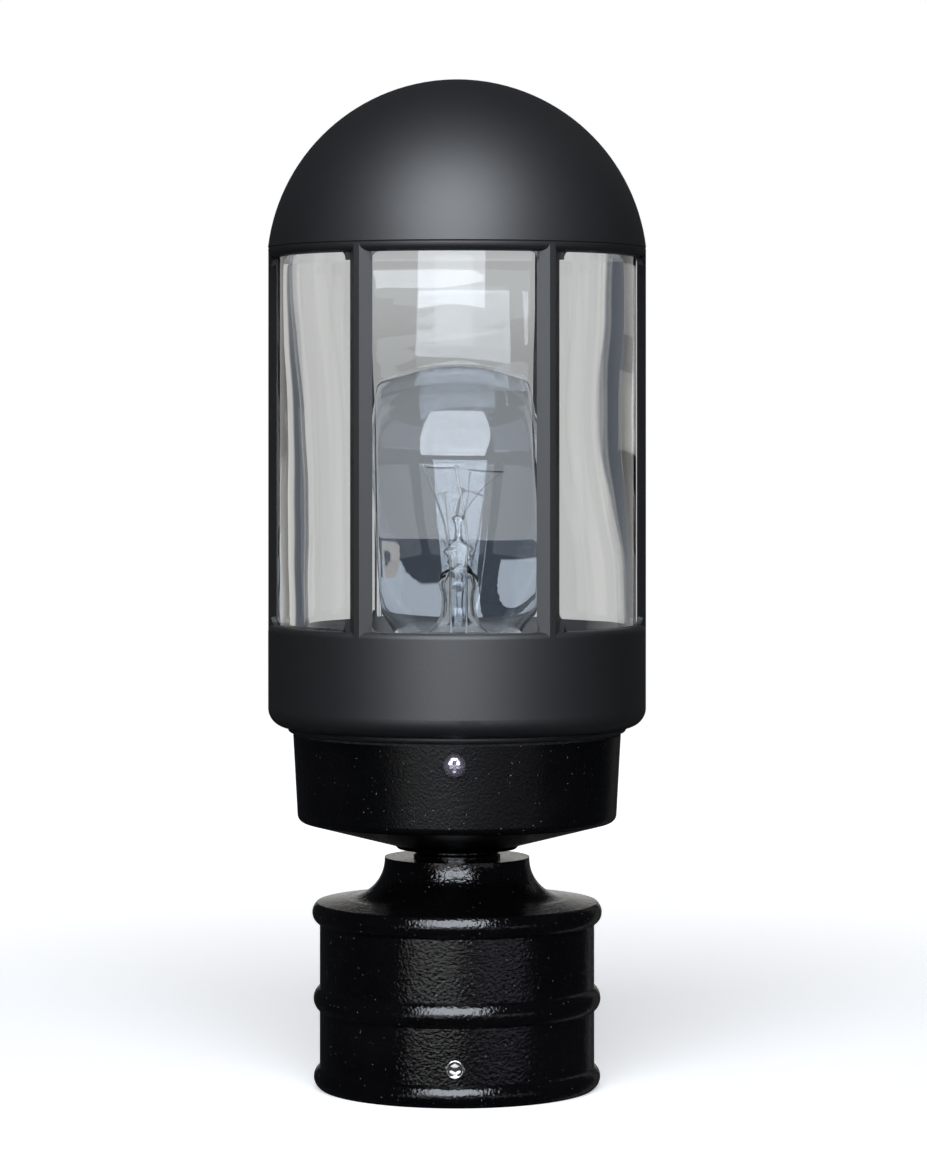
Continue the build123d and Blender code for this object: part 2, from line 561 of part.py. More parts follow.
def make_lampholder_body():
    outer = rod(HOLDER_RADIUS, HOLDER_Z, HOLDER_MOUTH_Z)
    outer = fillet(outer.edges().filter_by(GeomType.CIRCLE).sort_by(Axis.Z)[-1], HOLDER_EDGE)
    shell_space = SCREW_SHELL_RADIUS + SCREW_SHELL_WALL + SCREW_SHELL_FIT
    body = outer - rod(shell_space, SHELL_SEAT_Z, HOLDER_MOUTH_Z)
    body -= rod(CONTACT_WELL_RADIUS, CONTACT_WELL_Z, SHELL_SEAT_Z)
    body -= rod(NIPPLE_RADIUS, HOLDER_Z, CONTACT_WELL_Z)
    terminal_hole = TERMINAL_SCREW_RADIUS + THREAD_CLEARANCE
    bite = rod(terminal_hole, TERMINAL_FACE - TERMINAL_SCREW_BITE, TERMINAL_FACE)
    cap_screw_hole = rod(HOLDER_SCREW_RADIUS + THREAD_CLEARANCE, HOLDER_Z, HOLDER_Z + HOLDER_SCREW_DEPTH)
    for side in (-1, 1):
        foot, top, screw_z = terminal_heights(side)
        pocket = block(HOLDER_RADIUS, TERMINAL_POCKET_WIDTH, foot - POCKET_MARGIN, top + POCKET_MARGIN)
        body -= Pos(side * (TERMINAL_FACE + HOLDER_RADIUS / 2), 0, 0) * pocket
        body -= outward(bite, screw_z, 0 if side > 0 else 180)
        body -= Pos(0, side * HOLDER_SCREW_OFFSET, 0) * cap_screw_hole
    slot_width = CONTACT_STRIP_WIDTH + 2 * THREAD_CLEARANCE
    live_top = CONTACT_WELL_Z + CONTACT_STRIP_THICKNESS + THREAD_CLEARANCE
    neutral_top = SHELL_SEAT_Z + SCREW_SHELL_WALL + THREAD_CLEARANCE
    live_slot = block(TERMINAL_FACE, slot_width, CONTACT_WELL_Z, live_top)
    neutral_slot = block(TERMINAL_FACE, slot_width, SHELL_SEAT_Z, neutral_top)
    body -= Pos(TERMINAL_FACE / 2, 0, 0) * live_slot
    return body - Pos(-TERMINAL_FACE / 2, 0, 0) * neutral_slot


def make_screw_shell():
    """Metal shell that takes the bulb's base, with a foot and a tab to the neutral terminal."""
    outer = SCREW_SHELL_RADIUS + SCREW_SHELL_WALL
    shell = turned(
        (SCREW_SHELL_EYE_RADIUS, SHELL_SEAT_Z),
        (outer, SHELL_SEAT_Z),
        (outer, SCREW_SHELL_TOP_Z),
        (SCREW_SHELL_RADIUS, SCREW_SHELL_TOP_Z),
        (SCREW_SHELL_RADIUS, SHELL_SEAT_Z + SCREW_SHELL_WALL),
        (SCREW_SHELL_EYE_RADIUS, SHELL_SEAT_Z + SCREW_SHELL_WALL),
    )
    reach = TERMINAL_FACE - SCREW_SHELL_RADIUS
    tab = block(reach, CONTACT_STRIP_WIDTH, SHELL_SEAT_Z, SHELL_SEAT_Z + SCREW_SHELL_WALL)
    return shell + Pos(-(SCREW_SHELL_RADIUS + reach / 2), 0, 0) * tab


def make_centre_contact():
    """Bent brass strip: a foot in the well, a riser, and a tongue under the bulb's tip."""
    foot_z = CONTACT_WELL_Z
    thickness = CONTACT_STRIP_THICKNESS
    riser = -CONTACT_WELL_RADIUS / 2 - thickness
    side = Polyline(
        (TERMINAL_FACE, foot_z),
        (TERMINAL_FACE, foot_z + thickness),
        (riser + thickness, foot_z + thickness),
        (riser + thickness, BULB_Z - thickness),
        (riser + CONTACT_TONGUE_LENGTH, BULB_Z - thickness),
        (riser + CONTACT_TONGUE_LENGTH, BULB_Z),
        (riser, BULB_Z),
        (riser, foot_z),
        close=True,
    )
    return extrude(Plane.XZ * make_face(side), CONTACT_STRIP_WIDTH / 2, both=True)


def make_terminal_plates():
    plates = []
    hole = rod(TERMINAL_SCREW_RADIUS + THREAD_CLEARANCE, TERMINAL_FACE, HOLDER_RADIUS)
    for side in (-1, 1):
        foot, top, screw_z = terminal_heights(side)
        plate = Pos(TERMINAL_FACE + TERMINAL_PLATE_THICKNESS / 2, 0, 0) * block(
            TERMINAL_PLATE_THICKNESS, TERMINAL_PLATE_WIDTH, foot, top
        )
        plate -= outward(hole, screw_z, 0)
        plates.append(Rot(0, 0, 0 if side > 0 else 180) * plate)
    return plates


def make_terminal_screws():
    screws = []
    seat = TERMINAL_FACE + TERMINAL_PLATE_THICKNESS
    crown = seat + TERMINAL_SCREW_HEAD_HEIGHT
    shank = rod(TERMINAL_SCREW_RADIUS, TERMINAL_FACE - TERMINAL_SCREW_BITE + THREAD_CLEARANCE, seat)
    screw = shank + rod(TERMINAL_SCREW_HEAD_RADIUS, seat, crown)
    screw -= block(2 * TERMINAL_SCREW_HEAD_RADIUS, GROUND_SLOT_WIDTH, crown - GROUND_SLOT_WIDTH, crown)
    for side in (-1, 1):
        screw_z = terminal_heights(side)[2]
        screws.append(outward(screw, screw_z, 0 if side > 0 else 180))
    return screws


# ---- Cage ----
def bar_half_width(radius):
    """Half width of a bar's bevelled section at a distance from the axis."""
    slope = (BAR_FOOT_HALF_WIDTH - BAR_RIDGE_HALF_WIDTH) / CAGE_WALL
    return BAR_RIDGE_HALF_WIDTH + slope * (CAGE_RADIUS - radius)


def make_window_cutter(angle):
    """Space of one window: bevelled at the bars, rounded at the sill and under the header."""
    pitch = 360 / WINDOWS
    inner = CAGE_BORE_RADIUS - GLASS_CLEARANCE
    outer = CAGE_RADIUS + GLASS_CLEARANCE
    first = Vector(inner, bar_half_width(inner)).rotate(Axis.Z, -pitch / 2)
    second = Vector(outer, bar_half_width(outer)).rotate(Axis.Z, -pitch / 2)
    third = Vector(second.X, -second.Y)
    fourth = Vector(first.X, -first.Y)
    beyond = Vector(outer / cos(radians(pitch / 2)), 0)
    plan = make_face(Polyline(first, second, beyond, third, fourth, close=True))
    prism = Pos(0, 0, CAGE_FLOOR_Z) * extrude(plan, SEAM_Z - CAGE_FLOOR_Z)
    sill_edge = (CAGE_RADIUS - SILL_ROUND, SILL_Z)
    sill_foot = (CAGE_RADIUS, SILL_Z - SILL_ROUND)
    header_edge = (CAGE_RADIUS - HEADER_ROUND, HEADER_Z)
    header_top = (CAGE_RADIUS, HEADER_Z + HEADER_ROUND)
    far = 2 * CAGE_RADIUS
    near = CAGE_RADIUS / 2
    opening = lathe(
        Polyline((near, HEADER_Z), (near, SILL_Z), sill_edge),
        RadiusArc(sill_edge, sill_foot, SILL_ROUND),
        Polyline(sill_foot, (far, sill_foot[1]), (far, header_top[1]), header_top),
        RadiusArc(header_top, header_edge, HEADER_ROUND),
        Line(header_edge, (near, HEADER_Z)),
    )
    cutter = prism & opening
    foot = Vector(CAGE_BORE_RADIUS, BAR_FOOT_HALF_WIDTH).rotate(Axis.Z, -pitch / 2)
    for side in (-1, 1):
        cutter -= corner_web(foot.X, side * abs(foot.Y), SILL_Z, 1)
        cutter -= corner_web(foot.X, side * abs(foot.Y), HEADER_Z, -1)
    return Rot(0, 0, angle) * cutter


def corner_web(depth, across, height, upwards):
    """Web that rounds one corner of a window, behind the bevels."""
    radius = WINDOW_CORNER_RADIUS
    inwards = -1 if across > 0 else 1
    square = Pos(across + inwards * radius / 2, height + upwards * radius / 2) * Rectangle(radius, radius)
    square -= Pos(across + inwards * radius, height + upwards * radius) * Circle(radius)
    web = extrude(square, radius + WINDOW_CORNER_WEB)
    return Plane.YZ.offset(depth - radius) * web


def make_cage_frame():
    corner = SKIRT_CORNER_RADIUS
    corner_start = (CAGE_RADIUS - corner, CAGE_Z + LIP_HEIGHT)
    corner_end = (CAGE_RADIUS, CAGE_Z + LIP_HEIGHT + corner)
    lip_start = (LIP_RADIUS - LIP_ROUND, CAGE_Z)
    lip_end = (LIP_RADIUS, CAGE_Z + LIP_ROUND)
    spigot_foot = CAGE_Z - SPIGOT_DEPTH
    neck_radius = CAGE_BORE_RADIUS + HEADER_NECK_WALL
    neck_top = SEAM_Z + HEADER_NECK_HEIGHT
    body = lathe(
        Polyline(
            (SPIGOT_BORE_RADIUS, spigot_foot),
            (SPIGOT_RADIUS, spigot_foot),
            (SPIGOT_RADIUS, CAGE_Z),
            lip_start,
        ),
        RadiusArc(lip_start, lip_end, -LIP_ROUND),
        Polyline(lip_end, (LIP_RADIUS, CAGE_Z + LIP_HEIGHT), corner_start),
        RadiusArc(corner_start, corner_end, -corner),
        Polyline(
            corner_end,
            (CAGE_RADIUS, SEAM_Z - SEAM_CHAMFER),
            (CAGE_RADIUS - SEAM_CHAMFER, SEAM_Z),
            (neck_radius, SEAM_Z),
            (neck_radius, neck_top),
            (CAGE_BORE_RADIUS, neck_top),
            (CAGE_BORE_RADIUS, CAGE_FLOOR_Z),
            (SPIGOT_BORE_RADIUS, CAGE_FLOOR_Z),
            (SPIGOT_BORE_RADIUS, spigot_foot),
        ),
    )
    for index in range(WINDOWS):
        body -= make_window_cutter(FRONT_ANGLE + 360 / WINDOWS * index)
    slot_half = CANOPY_SCREW_RADIUS + SPIGOT_SLOT_CLEARANCE
    slot_end = rod(slot_half, SPIGOT_BORE_RADIUS - SPIGOT_WALL, SPIGOT_RADIUS + SPIGOT_WALL)
    slot_centre = (SPIGOT_BORE_RADIUS + SPIGOT_RADIUS) / 2
    slot = Pos(slot_centre, 0, 0) * block(3 * SPIGOT_WALL, 2 * slot_half, CANOPY_FLOOR_Z, CANOPY_SCREW_Z)
    slot += outward(slot_end, CANOPY_SCREW_Z, 0)
    for angle in SCREW_ANGLES:
        body -= Rot(0, 0, angle) * slot
    return body


def make_dome_cap():
    """Cast dome: an outer rim on the header, a slot for its neck and a ring that holds the glass down."""
    inner_dome = DOME_RADIUS - DOME_WALL
    ring_outer = CAGE_BORE_RADIUS - CAP_FIT
    ring_bore = ring_outer - CAP_RING_WALL
    ring_top = CAP_RING_Z + CAP_RING_HEIGHT
    rim_bore = CAGE_BORE_RADIUS + HEADER_NECK_WALL + CAP_FIT
    slot_top = SEAM_Z + HEADER_NECK_HEIGHT + CAP_FIT
    rim_top = SEAM_Z + SEAM_CHAMFER
    rim_radius = sqrt(DOME_RADIUS**2 - (rim_top - DOME_CENTRE_Z) ** 2)
    ring_meets = (sqrt(inner_dome**2 - (ring_top - DOME_CENTRE_Z) ** 2), ring_top)
    apex = (0, DOME_CENTRE_Z + DOME_RADIUS)
    inner_apex = (0, DOME_CENTRE_Z + inner_dome)
    half = radians(45)
    outer_middle = (DOME_RADIUS * cos(half), DOME_CENTRE_Z + DOME_RADIUS * sin(half))
    inner_middle = (inner_dome * cos(half), DOME_CENTRE_Z + inner_dome * sin(half))
    return lathe(
        ThreePointArc((rim_radius, rim_top), outer_middle, apex),
        Line(apex, inner_apex),
        ThreePointArc(inner_apex, inner_middle, ring_meets),
        Polyline(
            ring_meets,
            (ring_bore, ring_top),
            (ring_bore, CAP_RING_Z),
            (ring_outer, CAP_RING_Z),
            (ring_outer, slot_top),
            (rim_bore, slot_top),
            (rim_bore, SEAM_Z),
            (rim_radius - SEAM_CHAMFER, SEAM_Z),
            (rim_radius, rim_top),
        ),
    )


# ---- Glass cylinder and its gaskets ----
def make_glass_cylinder():
    glass = tube(GLASS_RADIUS, GLASS_BORE_RADIUS, GLASS_Z, GLASS_TOP_Z)
    return fillet(glass.edges().filter_by(GeomType.CIRCLE), GLASS_EDGE)


def make_glass_gasket(foot):
    outer = CAGE_BORE_RADIUS - GLASS_CLEARANCE
    return tube(outer, GLASS_BORE_RADIUS, foot, foot + GLASS_GASKET_THICKNESS)


# ---- Bulb ----
def envelope_outline(inset):
    """Half outline of the bulb's glass, from the neck to the crown, drawn inwards by a wall."""
    widest = BULB_Z + BULB_LENGTH - BULB_RADIUS
    radius = BULB_RADIUS - inset
    neck = (BULB_NECK_RADIUS - inset, BULB_Z + BULB_NECK_START)
    throat = (BULB_THROAT_RADIUS - inset, BULB_Z + BULB_THROAT_HEIGHT)
    hip = (BULB_HIP_RADIUS - inset, BULB_Z + BULB_HIP_HEIGHT)
    belly = (radius, widest)
    middle = (radius * cos(radians(45)), widest + radius * sin(radians(45)))
    crown = (0, widest + radius)
    return [
        Spline(neck, throat, hip, belly, tangents=[(0, 1), (0, 1)]),
        ThreePointArc(belly, middle, crown),
    ]


def make_bulb_envelope():
    neck_z = BULB_Z + BULB_NECK_START
    solids = []
    for inset in (0, BULB_GLASS):
        outline = envelope_outline(inset)
        close = Polyline(outline[1] @ 1, (0, neck_z), outline[0] @ 0)
        solids.append(lathe(*outline, close))
    return solids[0] - solids[1]


def make_bulb_stem():
    """Glass stem: a flared tube, the flat pinch that seals the wires, and a rod above it."""
    foot = BULB_Z + BULB_NECK_START
    straight = foot + STEM_FLARE_HEIGHT
    pinch_foot = BULB_Z + PINCH_FOOT
    pinch_top = BULB_Z + PINCH_TOP
    flare_middle = ((STEM_RADIUS + STEM_FLARE_RADIUS) / 2 - STEM_WALL, (foot + straight - STEM_WALL) / 2)
    outer_start = (STEM_FLARE_RADIUS, foot)
    inner_start = (STEM_FLARE_RADIUS - STEM_WALL, foot)
    inner_middle = (flare_middle[0] - STEM_WALL, flare_middle[1])
    body = lathe(
        ThreePointArc(outer_start, flare_middle, (STEM_RADIUS, straight)),
        Polyline(
            (STEM_RADIUS, straight),
            (STEM_RADIUS, pinch_foot),
            (0, pinch_foot),
            (0, pinch_foot - STEM_WALL),
            (STEM_RADIUS - STEM_WALL, pinch_foot - STEM_WALL),
            (STEM_RADIUS - STEM_WALL, straight),
        ),
        ThreePointArc((STEM_RADIUS - STEM_WALL, straight), inner_middle, inner_start),
        Line(inner_start, outer_start),
    )
    body += block(2 * PINCH_HALF_WIDTH, 2 * PINCH_HALF_DEPTH, pinch_foot, pinch_top)
    return body + rod(STEM_ROD_RADIUS, pinch_top, pinch_top + STEM_ROD_LENGTH)


def wire_pair(foot_spread, foot, top_spread, top):
    """Two straight wires that lean apart, one each side of the axis."""
    wires = []
    for side in (-1, 1):
        run = Line((side * foot_spread, 0, foot), (side * top_spread, 0, top))
        wires.append(sweep(Plane(origin=run @ 0, z_dir=run % 0) * Circle(WIRE_RADIUS), path=run))
    return wires


def make_lead_wires():
    foot = BULB_Z + PINCH_TOP + WIRE_SEAT_GAP
    top = BULB_Z + FILAMENT_HEIGHT
    return wire_pair(LEAD_SPREAD_FOOT, foot, LEAD_SPREAD_TOP, top)


def make_support_wires():
    foot = BULB_Z + PINCH_TOP + STEM_ROD_LENGTH + WIRE_SEAT_GAP
    top = BULB_Z + FILAMENT_HEIGHT - FILAMENT_RADIUS - WIRE_SEAT_GAP
    return wire_pair(STEM_ROD_RADIUS / 2, foot, SUPPORT_SPREAD_TOP, top)


def make_filament():
    half = LEAD_SPREAD_TOP - WIRE_RADIUS - WIRE_SEAT_GAP
    return Pos(0, 0, BULB_Z + FILAMENT_HEIGHT) * Rot(0, 90, 0) * Cylinder(FILAMENT_RADIUS, 2 * half)


def make_bulb_base():
    """Threaded shell of the bulb, drawn at its outer thread size."""
    foot = BULB_Z + BASE_SHELL_FOOT
    top = BULB_Z + BASE_SHELL_TOP
    return tube(BASE_SHELL_RADIUS, BASE_SHELL_RADIUS - BASE_SHELL_WALL, foot, top)


def make_bulb_insulator():
    foot = BULB_Z + CONTACT_HEIGHT
    shell_foot = BULB_Z + BASE_SHELL_FOOT
    shell_bore = BASE_SHELL_RADIUS - BASE_SHELL_WALL
    return turned(
        (0, foot),
        (INSULATOR_FOOT_RADIUS, foot),
        (INSULATOR_TOP_RADIUS, shell_foot),
        (shell_bore - BASE_SHELL_FIT, shell_foot),
        (shell_bore - BASE_SHELL_FIT, shell_foot + CONTACT_HEIGHT),
        (0, shell_foot + CONTACT_HEIGHT),
    )


def make_bulb_contact():
    return rod(CONTACT_RADIUS, BULB_Z, BULB_Z + CONTACT_HEIGHT)


# ---- Every piece under the name that a maker would use ----
PIECES = {
    "post_fitter": make_post_fitter(),
    "neck_ring": make_neck_ring(),
    "nipple": make_nipple(),
    "lower_locknut": make_locknut(LOWER_NUT_Z),
    "upper_locknut": make_locknut(UPPER_NUT_Z),
    "lower_lock_washer": make_lock_washer(LOWER_WASHER_Z),
    "upper_lock_washer": make_lock_washer(BRACKET_TOP_Z),
    "canopy": make_canopy(),
    "canopy_gasket": make_canopy_gasket(),
    "screw_bracket": make_screw_bracket(),
    "ground_screw": make_ground_screw(),
    "lampholder_cap": make_lampholder_cap(),
    "lampholder_screws": make_lampholder_screws(),
    "lampholder_body": make_lampholder_body(),
    "screw_shell": make_screw_shell(),
    "centre_contact": make_centre_contact(),
    "terminal_plates": make_terminal_plates(),
    "terminal_screws": make_terminal_screws(),
    "cage_frame": make_cage_frame(),
    "dome_cap": make_dome_cap(),
    "glass_cylinder": make_glass_cylinder(),
    "lower_glass_gasket": make_glass_gasket(CAGE_FLOOR_Z),
    "upper_glass_gasket": make_glass_gasket(GLASS_TOP_Z),
    "bulb_envelope": make_bulb_envelope(),
    "bulb_stem": make_bulb_stem(),
    "lead_wires": make_lead_wires(),
    "support_wires": make_support_wires(),
    "filament": make_filament(),
    "bulb_base": make_bulb_base(),
    "bulb_insulator": make_bulb_insulator(),
    "bulb_contact": make_bulb_contact(),
}
for number, screw_angle in enumerate(SCREW_ANGLES, start=1):
    PIECES[f"canopy_screw_{number}"] = make_canopy_screw(screw_angle)
    PIECES[f"set_screw_{number}"] = make_set_screw(screw_angle)

os.makedirs("parts", exist_ok=True)
for name, piece in PIECES.items():
    solids = piece if isinstance(piece, list) else piece.solids()
    export_step(Compound(label=name, children=list(solids)), f"parts/{name}.step")
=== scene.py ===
import math

import bpy
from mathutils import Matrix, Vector


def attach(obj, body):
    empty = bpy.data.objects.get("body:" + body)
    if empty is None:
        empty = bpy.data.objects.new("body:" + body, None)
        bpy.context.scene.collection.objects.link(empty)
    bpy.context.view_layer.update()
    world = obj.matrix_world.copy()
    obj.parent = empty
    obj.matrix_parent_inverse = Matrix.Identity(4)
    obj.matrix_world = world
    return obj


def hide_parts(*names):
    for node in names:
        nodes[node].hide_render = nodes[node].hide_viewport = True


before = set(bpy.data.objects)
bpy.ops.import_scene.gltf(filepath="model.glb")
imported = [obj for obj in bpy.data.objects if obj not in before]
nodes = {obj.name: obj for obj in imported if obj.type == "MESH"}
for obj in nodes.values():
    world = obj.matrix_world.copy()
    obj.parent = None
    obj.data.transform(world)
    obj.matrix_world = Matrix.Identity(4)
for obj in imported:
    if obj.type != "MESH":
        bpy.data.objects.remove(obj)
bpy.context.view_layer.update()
MM = 0.001

# ---- Camera ----
# A long lens, held level a little above the middle of the bulb.  It stands just to the right of
# the front window's middle, so the lantern shows turned by under a degree.
CAMERA_DISTANCE = 1314 * MM
CAMERA_HEIGHT = 212 * MM
CAMERA_TURN = math.radians(0.85)
LENS = 128.1
SENSOR_HEIGHT = 36
SHIFT_ACROSS = 0.0056
SHIFT_UP = -0.1316
camera_data = bpy.data.cameras.new("camera")
camera_data.sensor_fit = "VERTICAL"
camera_data.sensor_height = SENSOR_HEIGHT
camera_data.lens = LENS
camera_data.shift_x = SHIFT_ACROSS
camera_data.shift_y = SHIFT_UP
camera = bpy.data.objects.new("camera", camera_data)
bpy.context.scene.collection.objects.link(camera)
camera.location = (
    CAMERA_DISTANCE * math.sin(CAMERA_TURN),
    -CAMERA_DISTANCE * math.cos(CAMERA_TURN),
    CAMERA_HEIGHT,
)
camera.rotation_euler = (math.radians(90), 0, CAMERA_TURN)
bpy.context.scene.camera = camera
bpy.context.scene.view_settings.view_transform = "Standard"


# ---- Studio: lamps, world and floor ----
# One large softbox stands in front and above, and two dim cards low in front give the gloss its
# soft bands.  The room is white to the camera and pale grey through the glass, where two upright
# cards behind the lantern give the shade and the dark edge that show in the window.
class Value:
    """A node's output that can be added, multiplied and compared like a number."""

    def __init__(self, tree, socket):
        self.tree = tree
        self.socket = socket

    def maths(self, operation, first, second):
        return add_node(self.tree, "ShaderNodeMath", {"operation": operation}, {0: first, 1: second})

    def __add__(self, other):
        return self.maths("ADD", self, other)

    def __radd__(self, other):
        return self.maths("ADD", other, self)

    def __sub__(self, other):
        return self.maths("SUBTRACT", self, other)

    def __mul__(self, other):
        return self.maths("MULTIPLY", self, other)

    def __truediv__(self, other):
        return self.maths("DIVIDE", self, other)

    def __pow__(self, other):
        return self.maths("POWER", self, other)

    def __gt__(self, other):
        return self.maths("GREATER_THAN", self, other)

    def __lt__(self, other):
        return self.maths("LESS_THAN", self, other)

    def ramp(self, low, high, at_low=0.0, at_high=1.0):
        """This value spread smoothly from one number to another."""
        settings = {"interpolation_type": "SMOOTHSTEP"}
        inputs = {0: self, 1: low, 2: high, 3: at_low, 4: at_high}
        return add_node(self.tree, "ShaderNodeMapRange", settings, inputs)

    def band(self, low, low_full, high_full, high):
        """One between the two inner numbers, and falling to nothing at the outer ones."""
        return self.ramp(low, low_full) * self.ramp(high_full, high, 1.0, 0.0)


def add_node(tree, kind, settings=None, inputs=None, output=0):
    """Add a node, set its settings, then its sockets, and give one of its outputs."""
    node = tree.nodes.new(kind)
    for name, setting in (settings or {}).items():
        setattr(node, name, setting)
    for name, value in (inputs or {}).items():
        socket = node.inputs[name]
        if isinstance(value, Value):
            tree.links.new(value.socket, socket)
        else:
            socket.default_value = value
    return Value(tree, node.outputs[output])


def blend_colours(tree, factor, first, second):
    """Mix two colours, each a link or four numbers."""
    mix = tree.nodes.new("ShaderNodeMix")
    mix.data_type = "RGBA"
    for socket, value in ((mix.inputs[0], factor), (mix.inputs[6], first), (mix.inputs[7], second)):
        if isinstance(value, Value):
            tree.links.new(value.socket, socket)
        else:
            socket.default_value = value
    return Value(tree, mix.outputs[2])


def empty_tree(owner):
    owner.use_nodes = True
    owner.node_tree.nodes.clear()
    return owner.node_tree


WHITE = (1, 1, 1, 1)
ROOM_SHADE = (0.017, 0.018, 0.021, 1)
PAPER = (0.61, 0.60, 0.58, 1)
FLAG_SHADE = (0.040, 0.055, 0.080, 1)
AHEAD = (0.97, 0.995)
FRONT_ROOM = (0.0, 0.3)
EDGE_CARD = (0.42, 0.46, 0.50, 0.55)
EDGE_CARD_LIGHT = 0.3
EDGE_CARD_AHEAD = 0.5
FLAG_LEFT = (-0.82, -0.78, -0.62, -0.55)
FLAG_RIGHT = (0.34, 0.42, 0.78, 0.82)
FLAG_RISE = (-0.24, -0.21, 0.28, 0.32)

world = bpy.data.worlds.new("studio_room")
bpy.context.scene.world = world
tree = empty_tree(world)
seen = add_node(tree, "ShaderNodeLightPath", output="Is Camera Ray")
through = add_node(tree, "ShaderNodeLightPath", output="Is Transmission Ray")
mirrored = add_node(tree, "ShaderNodeLightPath", output="Is Glossy Ray")
mirror_sharp = add_node(tree, "ShaderNodeLightPath", output="Is Singular Ray")
direction = add_node(tree, "ShaderNodeTexCoord", output="Generated")
straight_on = add_node(
    tree, "ShaderNodeVectorMath", {"operation": "DOT_PRODUCT"}, {0: direction, 1: (0, 1, 0)}, "Value"
)
backdrop = mirrored * straight_on.ramp(*AHEAD) + mirrored * mirror_sharp * straight_on.ramp(*FRONT_ROOM)
axes = tree.nodes.new("ShaderNodeSeparateXYZ")
tree.links.new(direction.socket, axes.inputs[0])
sideways, rise = Value(tree, axes.outputs["X"]), Value(tree, axes.outputs["Z"])
edge_card = sideways.band(*EDGE_CARD) * (straight_on > EDGE_CARD_AHEAD)
backdrop = backdrop + mirrored * (mirror_sharp < 0.5) * edge_card * EDGE_CARD_LIGHT
room = blend_colours(tree, backdrop, ROOM_SHADE, PAPER)
flags = sideways.band(*FLAG_LEFT) + sideways.band(*FLAG_RIGHT)
flags = flags * rise.band(*FLAG_RISE) * (straight_on > 0.0)
behind_glass = blend_colours(tree, flags, PAPER, FLAG_SHADE)
bounced = add_node(tree, "ShaderNodeLightPath", output="Glossy Depth") > 0.5
behind_glass = blend_colours(tree, bounced * (straight_on < 0.0), behind_glass, ROOM_SHADE)
room = blend_colours(tree, through, room, behind_glass)
room = blend_colours(tree, seen, room, WHITE)
light = add_node(tree, "ShaderNodeBackground", None, {"Color": room, "Strength": 1.0})
output = tree.nodes.new("ShaderNodeOutputWorld")
tree.links.new(light.socket, output.inputs["Surface"])


def add_lamp(name, azimuth, elevation, distance, size, radiance, colour, aim_height=0.26):
    """Add a soft rectangular lamp that faces the lantern, by the brightness of its face."""
    data = bpy.data.lights.new(name, "AREA")
    data.shape = "RECTANGLE"
    data.size, data.size_y = size
    data.energy = radiance * math.pi * size[0] * size[1]
    data.color = colour
    lamp = bpy.data.objects.new(name, data)
    bpy.context.scene.collection.objects.link(lamp)
    turn, lift = math.radians(azimuth), math.radians(elevation)
    lamp.location = (
        distance * math.sin(turn) * math.cos(lift),
        -distance * math.cos(turn) * math.cos(lift),
        aim_height + distance * math.sin(lift),
    )
    lamp.rotation_euler = (math.radians(90) - lift, 0, turn)
    return lamp


add_lamp("softbox", -2.5, 30.5, 1.5, (1.30, 1.68), 5.8, (0.90, 0.96, 1.04))
add_lamp("softbox_valance", -1, 1.3, 1.5, (0.62, 0.06), 1.6, (0.90, 0.96, 1.04))
add_lamp("low_card_left", -17, -13.3, 1.2, (0.95, 0.17), 1.35, (1, 1, 1))
add_lamp("low_card_right", 36, -13.3, 1.2, (1.0, 0.17), 0.5, (1, 0.93, 1.1))

FLOOR_RADIUS = 1.5
FLOOR_NEAR = 0.15
FLOOR_FAR = 0.9
FLOOR_NEAR_GLOW = 0.50
bpy.ops.object.select_all(action="DESELECT")
bpy.ops.mesh.primitive_circle_add(vertices=128, radius=FLOOR_RADIUS, fill_type="NGON")
floor = bpy.context.object
floor.name = "floor"
floor_paint = bpy.data.materials.new("pale_floor")
tree = empty_tree(floor_paint)
place = add_node(tree, "ShaderNodeTexCoord", output="Object")
away = add_node(tree, "ShaderNodeVectorMath", {"operation": "LENGTH"}, {0: place}, "Value")
seen = add_node(tree, "ShaderNodeLightPath", output="Is Camera Ray")
paint = add_node(tree, "ShaderNodeBsdfDiffuse", None, {"Color": (0.8, 0.8, 0.8, 1)})
lift = seen * away.ramp(FLOOR_NEAR, FLOOR_FAR, FLOOR_NEAR_GLOW, 1.0)
glow = add_node(tree, "ShaderNodeEmission", None, {"Color": WHITE, "Strength": lift})
both = add_node(tree, "ShaderNodeAddShader", None, {0: paint, 1: glow})
output = tree.nodes.new("ShaderNodeOutputMaterial")
tree.links.new(both.socket, output.inputs["Surface"])
floor.data.materials.append(floor_paint)
floor.visible_glossy = False

PAPER_BEHIND = 0.17
PAPER_WIDTH = 0.072
PAPER_FOOT = 0.1705
PAPER_TOP = 0.65
SHADOW_HALF = 0.025
SHADOW_EDGE = 0.032
SHADED_HIGH = (0.50, 0.50, 0.49, 1)
SHADED_MIDDLE = (0.385, 0.385, 0.375, 1)
SHADED_LOW = (0.36, 0.36, 0.355, 1)
LOW_BLEND = (0.185, 0.235)
HIGH_BLEND = (0.230, 0.262)
FOOT_CARD_BEHIND = 0.32
FOOT_CARD_WIDTH = 0.060
FOOT_CARD_FOOT = -0.05
FOOT_CARD_HEAD = 0.24
DARK_EDGE = (0.070, 0.080, 0.095, 1)
PALE_TOP = (0.56, 0.60, 0.64, 1)
ARCH_PAINTED_LIGHT = (0.50, 0.46, 0.42, 1)
GAP_RIGHT = -0.0166
GAP_LEFT = -0.0124
TOP_LINE = (-0.0020, 0.0040, 0.1480, 0.1575)
TOP_BLUR = 0.0008
RIGHT_TOP = (0.1575, 0.1590)
ARCH_MIDDLE = 0.0070
ARCH_HALF = 0.0036
ARCH_BEND = 0.004
ARCH_FOOT = 0.140
ARCH_CROWN = (0.1640, 0.1655)
COLUMN_MIDDLE = 0.0072
COLUMN_HALF = 0.0023
COLUMN_BEND = 0.003
